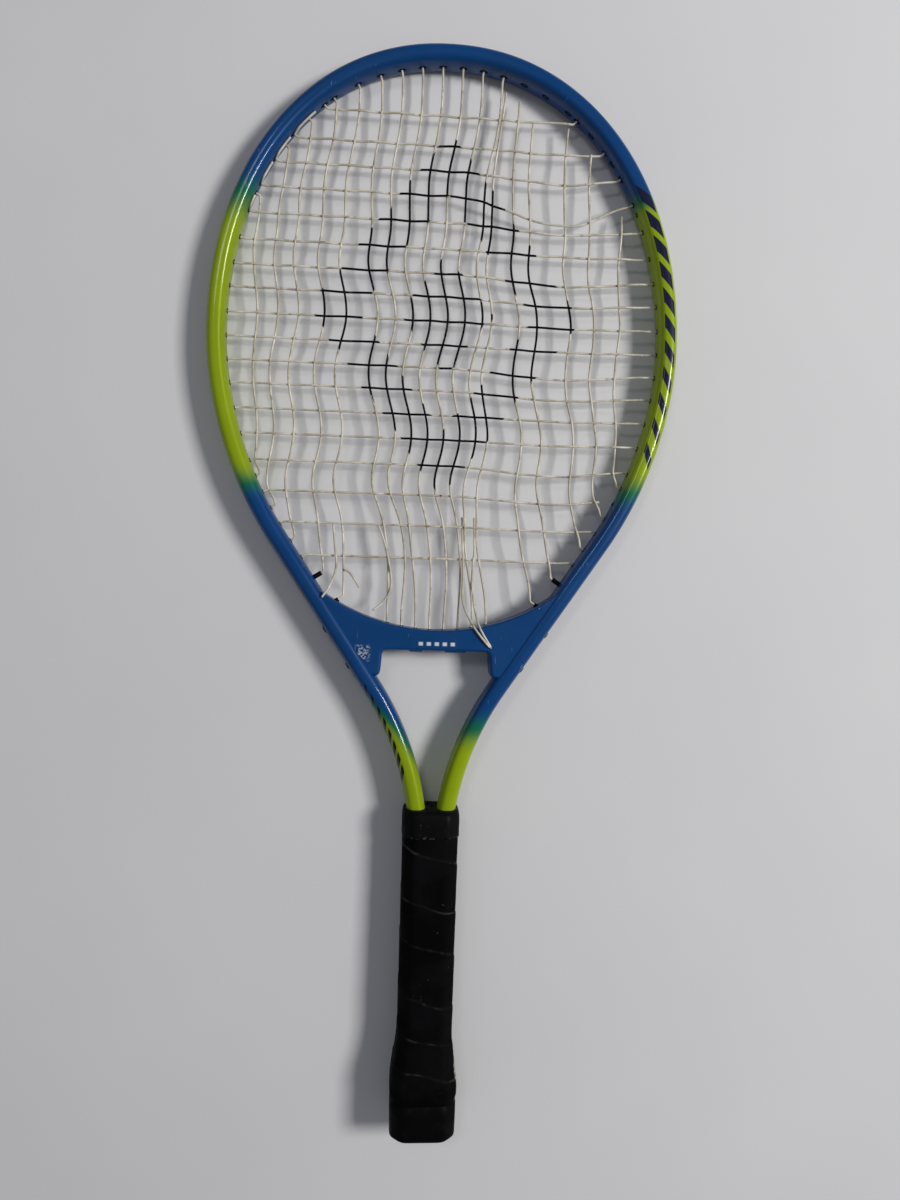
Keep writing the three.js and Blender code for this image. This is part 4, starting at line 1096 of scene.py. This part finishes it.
def grommets(material):
    """The strips in the frame's groove, with a long barrel for each string through the bridge's horns."""
    edge_rank = MAIN_COUNT // 2
    head = [CROSS_ENDS[row, side] for row in range(HEAD_STRIP_CROSSES) for side in (-1, 1)]
    head += [s for k, s in MAIN_TOPS.items() if main_rank(k) < edge_rank]
    reaches = dict.fromkeys(head, SHORT_REACH)
    strip_piece("head_grommets", "grommet_strip_head", reaches, material, TOP_MOUTH)
    for side, hand, edge_main in ((-1, "left", 1), (1, "right", MAIN_COUNT)):
        stations = [CROSS_ENDS[row, side] for row in range(HEAD_STRIP_CROSSES, CROSS_COUNT)]
        stations.append(MAIN_TOPS[edge_main])
        lower = [k for k in MAIN_BOTTOMS if main_side(k) == side]
        stations += [MAIN_BOTTOMS[k] for k in lower if not through_throat(k)]
        reaches = dict.fromkeys(stations, SHORT_REACH)
        strip_piece(f"side_grommets_{hand}", f"grommet_strip_{hand}", reaches, material)
        reaches = {MAIN_BOTTOMS[k]: THROAT_BARREL_END[main_rank(k)] for k in lower if through_throat(k)}
        strip_piece(f"long_grommets_{hand}", f"throat_grommet_{hand}", reaches, material)
    bridge_grommets(material)


def bridge_grommets(material):
    """The strip under the bridge, and the barrels that come up through it."""
    builder = Builder()
    bottom = BRIDGE_STRIP_BOTTOM
    half = half_size("bridge_grommet_strip", 0)
    section = [(-2.5, 0.2), (-2.3, 0), (2.3, 0), (2.5, 0.2), (2.5, 0.6), (2.2, 0.8), (-2.2, 0.8), (-2.5, 0.6)]
    builder.rings([[Vector((x, bottom + y, z)) for z, y in section] for x in (-half, half)])
    for k in range(1, MAIN_COUNT + 1):
        if not through_bridge(k):
            continue
        x = bridge_hole_x(k)
        top = bridge_top_at(x) + 0.3
        profile = [
            (bottom + 0.4, BARREL_RADIUS), (top - 0.4, BARREL_RADIUS), (top, BARREL_RIM),
            (top, BARREL_BORE), (bottom + 0.4, BARREL_BORE),
        ]
        rings = [
            [Vector((x + r * math.cos(angle), y, r * math.sin(angle))) for angle in circle(BARREL_SIDES)]
            for y, r in profile
        ]
        builder.rings(rings, closed=True)
    finish_piece(builder.object("bridge_grommets"), material, "bridge_grommet_strip")


# ------------------------------------------------------------------ strings

HEAD_EDGE_X = 130
MAIN_LEAN = 7
LEAN_RISE = (345, 430)
LEAN_FALL = (600, 668)
WAVE_RISE = (385, 430)
WAVE_FALL = (545, 590)
WAVE_HEIGHT = 3
WAVE_LENGTH = 72
WAVE_PEAK_Y = 522
WEAVE_HEIGHT = 0.72
STRAND_MARGIN = 2.2
STRAND_STEP = 2.6
MAIN_TOP_EASE = 0.2
FREE_SHIFT = 0.85
SLACK_TOP_Y = 432
EASE_LENGTH = 7

# How far each main bows sideways above the bridge, where the string bed has gone slack.
SLACK = {5: 2, 6: 3, 7: 4.5, 8: -0.5, 9: 1.5, 10: 2.2, 11: 1.6, 12: -4, 13: -4.8, 14: -3}


def main_shift(x, y):
    """How far the worn mains have slid sideways."""
    edge = 1 - (abs(x) / HEAD_EDGE_X) ** 4
    lean = -MAIN_LEAN * (1 - smooth(*LEAN_FALL, y)) * smooth(*LEAN_RISE, y)
    wave = WAVE_HEIGHT * math.cos(2 * math.pi * (y - WAVE_PEAK_Y) / WAVE_LENGTH)
    waved = wave * smooth(*WAVE_RISE, y) * (1 - smooth(*WAVE_FALL, y))
    return edge * (lean + waved)


SAG_CENTRE_X = 70
SAG_HALF_WIDTH = 66
SAG_END_X = 120
LEVEL_END = 12


def cross_sag(row, x, end_x):
    """How far a cross hangs down at x, as a negative height."""
    rise = smooth(SAG_CENTRE_X - SAG_HALF_WIDTH, SAG_CENTRE_X, x)
    fall = 1 - smooth(SAG_CENTRE_X + 4, max(end_x + 6, SAG_CENTRE_X + 12), x)
    return -CROSS_SAG[row] * rise * fall


def between(value, levels):
    """Where a value lies among descending or ascending levels, counted in levels."""
    descending = levels[0] > levels[-1]
    ordered = levels if descending else [-v for v in levels]
    value = value if descending else -value
    if value >= ordered[0]:
        return -min(1.0, (value - ordered[0]) / LEVEL_END)
    for i, (a, b) in enumerate(zip(ordered, ordered[1:])):
        if a >= value >= b:
            return i + (a - value) / max(SAME_PLACE, a - b)
    return len(ordered) - 1 + min(1.0, (ordered[-1] - value) / LEVEL_END)


BRIDGE_START = 2.4


def main_bottom_start(k):
    if through_bridge(k):
        x = bridge_hole_x(k)
        return Vector((x, bridge_top_at(x) + BRIDGE_START, 0))
    return on_frame(MAIN_BOTTOMS[k], -main_reach(main_rank(k)), 0)


def main_top_start(k):
    if k > LAST_WHOLE_MAIN:
        return Vector((*FREE_TOPS[k], 0))
    return on_frame(MAIN_TOPS[k], -STRAND_START, 0)


def main_x(k, y):
    """Where main k stands at a height."""
    bottom, top = main_bottom_start(k), main_top_start(k)
    t = (y - bottom.y) / (top.y - bottom.y)
    x = bottom.x + (top.x - bottom.x) * t
    free = k > LAST_WHOLE_MAIN
    ends = smooth(0, 0.06, t) * (1 if free else 1 - smooth(1 - MAIN_TOP_EASE, 1, t))
    slack_share = min(1, max(0, (y - bottom.y) / (SLACK_TOP_Y - bottom.y)))
    slack = SLACK.get(k, 0) * math.sin(math.pi * slack_share) ** 2
    return x + ends * main_shift(x, y) * (FREE_SHIFT if free else 1) + slack


def main_span(k):
    """The free part of main k from the bottom up, passing over and under the crosses."""
    bottom, top = main_bottom_start(k), main_top_start(k)
    free = k > LAST_WHOLE_MAIN
    start, end = bottom.y + STRAND_MARGIN, top.y - (0 if free else STRAND_MARGIN)
    steps = int((end - start) / STRAND_STEP)
    points = []
    for y in spread(start, end, steps):
        x = main_x(k, y)
        levels = [cy + cross_sag(row, x, SAG_END_X) for row, cy in enumerate(CROSS_Y)]
        turn = between(y, levels)
        fade = smooth(bottom.y, bottom.y + EASE_LENGTH, y)
        fade *= 1 if free else 1 - smooth(top.y - EASE_LENGTH, top.y, y)
        z = WEAVE_HEIGHT * math.cos(math.pi * turn) * (-1) ** k * fade
        points.append(Vector((x, y, z)))
    return [bottom, *points, *([] if free else [top])]


def cross_span(row):
    """The free part of a cross string from the left, passing over and under the mains."""
    left = on_frame(CROSS_ENDS[row, -1], -STRAND_START, 0)
    right = on_frame(CROSS_ENDS[row, 1], -STRAND_START, 0)
    broken = row == BROKEN_CROSS - 1
    start = left.x + STRAND_MARGIN
    end = BROKEN_CROSS_END_X if broken else right.x - STRAND_MARGIN
    y = CROSS_Y[row]
    mains = []
    for k in range(1, MAIN_COUNT + 1):
        reaches = main_bottom_start(k).y < y < main_top_start(k).y
        mains.append(main_x(k, y) if reaches else main_side(k) * MAIN_TOP_X[main_rank(k) - 1])
    mains.sort()
    steps = int((end - start) / STRAND_STEP)
    points = []
    for x in spread(start, end, steps):
        turn = between(x, mains) + 1
        fade = smooth(left.x, left.x + EASE_LENGTH, x)
        fade *= 1 if broken else 1 - smooth(right.x - EASE_LENGTH, right.x, x)
        z = -WEAVE_HEIGHT * math.cos(math.pi * (turn + row)) * fade
        points.append(Vector((x, y + cross_sag(row, x, end), z)))
    return [left, *points, *([] if broken else [right])]


LOOP_LEAD = 3
LOOP_STEP = 5
TIE_LENGTH = 5.2
UNDER_BRIDGE_STRIP = 0.8


def groove_loop(first, last, height):
    """From one hole to the next along the frame's groove."""
    lead = math.copysign(LOOP_LEAD, last - first)
    steps = max(1, int((abs(last - first) - 2 * LOOP_LEAD) / LOOP_STEP))
    middle = [on_frame(s, LOOP_RADIAL, height) for s in spread(first + lead, last - lead, steps)]
    return [on_frame(first, LOOP_RADIAL, 0), *middle, on_frame(last, LOOP_RADIAL, 0)]


def tied_end(station, height, direction):
    """A string's end, from where it is tied in the groove to its hole."""
    before = [on_frame(station + direction * gap, LOOP_RADIAL, height) for gap in (TIE_LENGTH, LOOP_LEAD)]
    return [*before, on_frame(station, LOOP_RADIAL, 0)]


def bottom_loop(k):
    """From the foot of main k to the foot of the next one."""
    if through_bridge(k):
        y = BRIDGE_STRIP_BOTTOM - UNDER_BRIDGE_STRIP
        return [Vector((bridge_hole_x(k), y, 0)), Vector((bridge_hole_x(k + 1), y, 0))]
    return groove_loop(MAIN_BOTTOMS[k], MAIN_BOTTOMS[k + 1], LOOP_HEIGHT)


# Loose ends of the old strings: a loop pulled over the bridge, an end that lies on the left horn, and
# two short curls between the bridge and the lowest cross.
LOOP_TOP_Y = 400
LOOP_MIDDLE_Y = 382
LOOSE_ENDS = [
    [(main_x(12, LOOP_TOP_Y) - 1.5, LOOP_TOP_Y, -1.3), (main_x(12, LOOP_MIDDLE_Y) - 1.6, LOOP_MIDDLE_Y, 1.4),
     (15.6, 364, 1.6), (16.1, 347, 3.2), (22.7, 332.7, 9.6), (33.7, 320, 9.3), (25.1, 335.3, 9.7),
     (21.4, 358.4, 2.2), (main_x(13, LOOP_MIDDLE_Y) - 1.8, LOOP_MIDDLE_Y, 1.5),
     (main_x(13, LOOP_TOP_Y) - 1.6, LOOP_TOP_Y, -1.3)],
    [(-65.5, 393, -1.4), (-64, 380.5, 1.5), (-62.8, 367, 4.5), (-65.9, 356, 9.8), (-70.5, 348.6, 10.4)],
    [(-58.7, 366.5, 0.5), (-54.3, 363.5, 1.5), (-51.1, 359.3, 1), (-48.6, 355, 0)],
    [(-38, 394.5, -1.3), (-33, 381, 1.4), (-29.1, 363.1, 1.5), (-29.4, 353.8, 1.5), (-34.1, 345.6, 2),
     (-39.5, 341.2, 4)],
]


# Pale strands laid along the inside of the head's upper left as a painted highlight on the tube's inner edge,
# each from the hole of a cross towards the hole above it: the cross's row, and how much of the way the strand
# goes.
HIGHLIGHT_STRANDS = [(1, 0.7), (2, 0.8), (3, 0.8), (4, 0.5)]
HIGHLIGHT_STRAND_HEIGHT = 2.9
HIGHLIGHT_STRAND_OUTWARD = -TUBE_HALF_WIDTH - STRING_RADIUS - 0.15
HIGHLIGHT_STRAND_STEPS = 8


def highlight_strand(row, share):
    first, last = CROSS_ENDS[row, -1], CROSS_ENDS[row - 1, -1]
    points = []
    for t in spread(0, 1, HIGHLIGHT_STRAND_STEPS):
        height = HIGHLIGHT_STRAND_HEIGHT * smooth(-0.1, 0.3, t)
        points.append(on_frame(first + (last - first) * share * t, HIGHLIGHT_STRAND_OUTWARD, height))
    return points


CURVE_STEPS = 5


def eased_path(corners):
    """A smooth curve through a few points."""
    points = [Vector(c) for c in corners]
    padded = [points[0], *points, points[-1]]
    result = []
    for a, b, c, d in zip(padded, padded[1:], padded[2:], padded[3:]):
        for t in spread(0, 1, CURVE_STEPS)[:-1]:
            p = b * 2 + (c - a) * t + (a * 2 - b * 5 + c * 4 - d) * t ** 2 + (b * 3 - a - c * 3 + d) * t ** 3
            result.append(p / 2)
    result.append(points[-1])
    return result


def string_piece(name, node, points, material, loose_ends=()):
    builder = Builder()
    add_rope(builder, rounded_path(points))
    for corners in loose_ends:
        add_rope(builder, eased_path(corners))
    finish_piece(builder.object(name), material, node)


def cross_path(first, last):
    """Crosses first to last as one path, which turns in the groove after each."""
    points = []
    for n in range(first, last + 1):
        row = n - 1
        side = 1 if n % 2 == 1 else -1
        points += cross_span(row)[::side]
        if n < last:
            points += groove_loop(CROSS_ENDS[row, side], CROSS_ENDS[row + 1, side], -LOOP_HEIGHT)
    return points


def strings(material):
    points = tied_end(MAIN_BOTTOMS[1], LOOP_HEIGHT, 1)
    for k in range(1, LAST_WHOLE_MAIN + 1):
        span = main_span(k)
        if k % 2 == 1:
            points += span + groove_loop(MAIN_TOPS[k], MAIN_TOPS[k + 1], LOOP_HEIGHT)
        else:
            points += span[::-1] + bottom_loop(k)
    points += main_span(LAST_WHOLE_MAIN + 1)
    string_piece("mains", "main_string", points, material, LOOSE_ENDS)
    for k, part in ((14, "inner"), (16, "outer")):
        pair = main_span(k)[::-1] + bottom_loop(k) + main_span(k + 1)
        string_piece(f"broken_mains_{part}", f"main_strand_broken_{part}", pair, material)
    edge = main_span(MAIN_COUNT)[::-1] + tied_end(MAIN_BOTTOMS[MAIN_COUNT], LOOP_HEIGHT, -1)[::-1]
    string_piece("broken_main_edge", "main_strand_broken_edge", edge, material)
    start = tied_end(CROSS_ENDS[0, -1], -LOOP_HEIGHT, 1)
    end = tied_end(CROSS_ENDS[BROKEN_CROSS - 2, 1], -LOOP_HEIGHT, 1)[::-1]
    upper = start + cross_path(1, BROKEN_CROSS - 1) + end
    # These strands are pale string laid along the wall as a painted highlight on the tube's inner edge.
    painted_highlight_strands = [highlight_strand(row, share) for row, share in HIGHLIGHT_STRANDS]
    string_piece("crosses_upper", "cross_string_upper", upper, material, painted_highlight_strands)
    end = tied_end(CROSS_ENDS[CROSS_COUNT - 1, -1], -LOOP_HEIGHT, -1)[::-1]
    string_piece("crosses_lower", "cross_string_lower", cross_path(BROKEN_CROSS, CROSS_COUNT) + end, material)


# ------------------------------------------------------------------ handle

def half_sizes(node):
    """Half of a node's width and half of its depth."""
    return half_size(node, 0), half_size(node, 2)


OCTAGON_CHAMFER = 6.7
OCTAGON_SHARPNESS = 26
SLEEVE_SIDES = 96
TAPE_HALF = half_sizes("finishing_tape")
CAP_HALF = half_sizes("butt_cap")
WRAP_BOTTOM = drawn_y(WRAP_LOW[1])
TAPE_BOTTOM = drawn_y(TAPE_LOW[1])
TAPE_TOP = drawn_y(TAPE_HIGH[1])

# The wrapped handle under the strip's own thickness: half width and half depth at the flare and above.
FLARE_SIZE = tuple(half - strip for half, strip in zip(half_sizes("grip_wrap"), (0.7, 0.6)))
HANDLE_SIZE = (17.6 - 0.55, 15.6 - 0.55)
FLARE_PEAK_Y = 41
FLARE_TOP_Y = 80
FLARE_TUCK = 0.035


def octagon_ring(y, half_width, half_depth, angles):
    """A ring round the handle's axis: an octagon with rounded corners."""
    chamfer = (half_width + half_depth - OCTAGON_CHAMFER) / math.sqrt(2)
    flats = [half_width, chamfer, half_depth, chamfer] * 2
    ring = []
    for angle in angles:
        total = 0
        for i, distance in enumerate(flats):
            total += max(0, math.cos(angle - i * math.pi / 4) / distance) ** OCTAGON_SHARPNESS
        radius = total ** (-1 / OCTAGON_SHARPNESS)
        ring.append((radius * math.cos(angle), y, radius * math.sin(angle)))
    return ring


def handle_size(y):
    """Half width and half depth of the wrapped handle at a height."""
    t = smooth(FLARE_PEAK_Y, FLARE_TOP_Y, y)
    tuck = 1 - FLARE_TUCK * (1 - smooth(WRAP_BOTTOM, FLARE_PEAK_Y, y))
    return [(flare + (handle - flare) * t) * tuck for flare, handle in zip(FLARE_SIZE, HANDLE_SIZE)]


# Where the wound strip's lapped edge crosses the middle of the front, from the flare upwards.
SEAM_Y = [28, 55, 75, 99, 134, 159, 191, 222]


def laps_below(y):
    """How many laps of the strip lie below a height on the middle of the front."""
    for n, (low, high) in enumerate(zip(SEAM_Y, SEAM_Y[1:])):
        if y < high or n == len(SEAM_Y) - 2:
            return n + (y - low) / (high - low)


LAP_CROWN = 0.22
LAP_EDGE = 0.34
LAP_EDGE_RISE = (0.55, 0.97)
LAP_EDGE_FALL = (0.975, 1.0)


def wrap_step(phase):
    """How far the wound strip stands out: it rises towards its lapped edge and drops at the seam."""
    lap = phase % 1
    edge = LAP_EDGE * smooth(*LAP_EDGE_RISE, lap) * (1 - smooth(*LAP_EDGE_FALL, lap))
    return LAP_CROWN * math.sin(math.pi * lap) + edge


WRAP_SIDES = 112
WRAP_ROW_STEP = 0.75
WRAP_TOP = TAPE_BOTTOM + 6
WRAP_SETTLE = 4
FIRST_PHASE = 20


def wrap_phase(y, angle):
    """Which lap of the strip covers a place, and how far it is towards that lap's edge."""
    turn = angle / (2 * math.pi) - 0.25
    return laps_below(y) - turn + 0.02 * math.sin(3 * angle + y / 9)


def grip_wrap(material):
    """The wound grip, with a map of its phase and of its turn."""
    count = WRAP_SIDES
    angles = spread(0, 2 * math.pi, count)
    steps = int((WRAP_TOP - WRAP_BOTTOM) / WRAP_ROW_STEP)
    vertices = []
    phases = []
    for y in spread(WRAP_BOTTOM, WRAP_TOP, steps):
        settle = smooth(WRAP_BOTTOM, WRAP_BOTTOM + WRAP_SETTLE, y)
        row = [wrap_phase(y, angle) for angle in angles]
        for (x, _, z), angle, phase in zip(octagon_ring(y, *handle_size(y), circle(count)), angles, row):
            rise = wrap_step(phase) * settle
            vertices.append((x + rise * math.cos(angle), y, z + rise * math.sin(angle)))
        phases.append([phase + FIRST_PHASE for phase in row])
    uvs = []
    for here, there in zip(phases, phases[1:]):
        for j in range(count):
            low, high = j / count, (j + 1) / count
            uvs.append(((here[j], low), (there[j], low), (there[j + 1], high), (here[j + 1], high)))
    uvs += [((0.5, 0.5),) * count] * 2
    wrap = mesh_object("wound_grip", vertices, sleeve_faces(count, steps + 1), uvs)
    finish_piece(wrap, material, "grip_wrap")


def sleeve(name, profile):
    """An octagonal body about the handle's axis, from (y, half width, half depth) rows."""
    builder = Builder()
    builder.rings([octagon_ring(*row, circle(SLEEVE_SIDES)) for row in profile])
    return builder.object(name)


def finishing_tape(material):
    """A band with rolled edges, pulled in a little at its top where it closes on the arms."""
    width, depth = TAPE_HALF
    low, high = TAPE_BOTTOM, TAPE_TOP
    profile = [
        (low, 0.5, 0.5), (low + 0.3, 0.05, 0.05), (low + 1, 0, 0), (low + 5, 0.12, 0.12), (low + 9, 0, 0),
        (high - 4, 0.15, 0.2), (high - 2.4, 0.3, 0.6), (high - 0.8, 0.6, 1.4), (high - 0.1, 1.0, 2.2),
        (high, 1.8, 3),
    ]
    tape = sleeve("end_tape", [(y, width - across, depth - down) for y, across, down in profile])
    finish_piece(tape, material, "finishing_tape")


# The cap: its domed end, the rounded edge round it, and its side as (height above the end, inset).
DOME_STEPS = 9
DOME_RISE = 1.6
DOME_POWER = 2.6
DOME_INSET = 4
EDGE_STEPS = 7
EDGE_RISE = 3.4
CAP_SIDE = [(8, 0.14), (12, 0.06), (18, 0), (24.6, 0.05), (25.3, 0.5)]


def butt_cap(material):
    """A rounded octagon with a domed end, and its rim under the wrap."""
    width, depth = CAP_HALF
    profile = []
    for t in spread(0, 1, DOME_STEPS)[1:-1]:
        y = DRAWN_BUTT_Y + DOME_RISE * t ** DOME_POWER
        profile.append((y, (width - DOME_INSET) * t, (depth - DOME_INSET) * t))
    for angle in spread(0, math.pi / 2, EDGE_STEPS):
        inset = DOME_INSET * (1 - math.sin(angle)) + 0.2
        y = DRAWN_BUTT_Y + DOME_RISE + EDGE_RISE * (1 - math.cos(angle))
        profile.append((y, width - inset, depth - inset))
    side = [(DRAWN_BUTT_Y + above, inset) for above, inset in CAP_SIDE] + [(WRAP_BOTTOM + 3, 1.2)]
    profile += [(y, width - inset, depth - inset) for y, inset in side]
    finish_piece(sleeve("butt_end_cap", profile), material, "butt_cap")


def hidden_handle_parts(foam, tack):
    for node in ("handle_shell_front", "handle_shell_back"):
        assign(node, foam)
    for node in ("cap_tack_left", "cap_tack_right"):
        assign(node, tack)


def assign(node, material):
    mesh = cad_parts[node].data
    if mesh.materials:
        for i in range(len(mesh.materials)):
            mesh.materials[i] = material
    else:
        mesh.materials.append(material)


# ------------------------------------------------------------------ floor, light and camera

FLOOR_HALF = 3.0
FLOOR_DROP = 0.0003


def lay_floor(material):
    """The racket lies on its flare and on the tip of its head, so the floor slopes to touch both."""
    rest_y = frame_y(FLARE_PEAK_Y - 2)
    tip_y = FRAME_HIGH[1] - 6 * UNIT
    slope = math.atan((FRAME_LOW[2] - WRAP_LOW[2]) / (tip_y - rest_y))
    corners = [(x * FLOOR_HALF, y * FLOOR_HALF, 0) for x, y in ((-1, -1), (1, -1), (1, 1), (-1, 1))]
    mesh = bpy.data.meshes.new("floor")
    mesh.from_pydata(corners, [], [(0, 1, 2, 3)])
    mesh.materials.append(material)
    floor = add_to_scene("floor", mesh)
    rest = Matrix.Translation((0, rest_y, WRAP_LOW[2] - FLOOR_DROP))
    floor.matrix_world = rest @ Matrix.Rotation(slope, 4, "X")


# Each light: its place and what it points at, in the shared frame, its size in metres, its watts and
# its colour.
WINDOW = ((1.75, 0.36, 1.95), (0, 0.06, 0), (0.6, 0.6), 55.0, (1.0, 0.985, 0.955))
CEILING = ((-0.5, 0.9, 1.9), (0, 0.1, 0), (0.5, 0.3), 4.0, (0.93, 0.96, 1.0))
ROOM_COLOUR = (0.84, 0.87, 0.96, 1)
ROOM_STRENGTH = 0.2


def area_light(name, position, target, size, power, colour):
    data = bpy.data.lights.new(name, "AREA")
    data.shape = "RECTANGLE"
    data.size, data.size_y = size
    data.energy = power
    data.color = colour
    light = add_to_scene(name, data)
    light.location = position
    direction = Vector(target) - Vector(position)
    light.rotation_euler = direction.to_track_quat("-Z", "Y").to_euler()


def light_scene():
    area_light("window", *WINDOW)
    area_light("ceiling", *CEILING)
    world = bpy.data.worlds.new("studio")
    world.use_nodes = True
    background = world.node_tree.nodes["Background"]
    background.inputs["Color"].default_value = ROOM_COLOUR
    background.inputs["Strength"].default_value = ROOM_STRENGTH
    bpy.context.scene.world = world
    bpy.context.scene.view_settings.view_transform = "Standard"


# The camera stands above the head, a little to the left, and looks almost straight down.
CAMERA_PLACE = (-32.1, 369.5, 571.9)
CAMERA_PITCH = math.radians(2.09)
CAMERA_YAW = math.radians(4.02)
CAMERA_ROLL = math.radians(-1.78)
SENSOR_HEIGHT = 24.0
LENS = 18.4


def set_camera():
    data = bpy.data.cameras.new("camera")
    data.sensor_fit = "VERTICAL"
    data.sensor_height = SENSOR_HEIGHT
    data.lens = LENS
    data.clip_start = 0.01
    camera = add_to_scene("camera", data)
    turn = (
        Matrix.Rotation(-CAMERA_YAW, 4, "Y")
        @ Matrix.Rotation(-CAMERA_PITCH, 4, "X")
        @ Matrix.Rotation(-CAMERA_ROLL, 4, "Z")
    )
    camera.matrix_world = Matrix.Translation(place(*CAMERA_PLACE)) @ turn
    bpy.context.scene.camera = camera


# ------------------------------------------------------------------ the whole scene

set_camera()
light_scene()
lay_floor(floor_card())

frame_tube(tube_paint())
throat_bridge(bridge_paint())
rivets(steel("rivet_black", (0.03, 0.03, 0.033), 0.35))
grommets(black_plastic("grommet_black", 0.004, 0.4))
strings(string_nylon())

butt_cap(black_plastic("cap_plastic", 0.002, 0.4))
grip_wrap(grip_rubber())
finishing_tape(tape_vinyl())
hidden_handle_parts(pallet_foam(), steel("tack_steel", (0.5, 0.5, 0.5), 0.3))
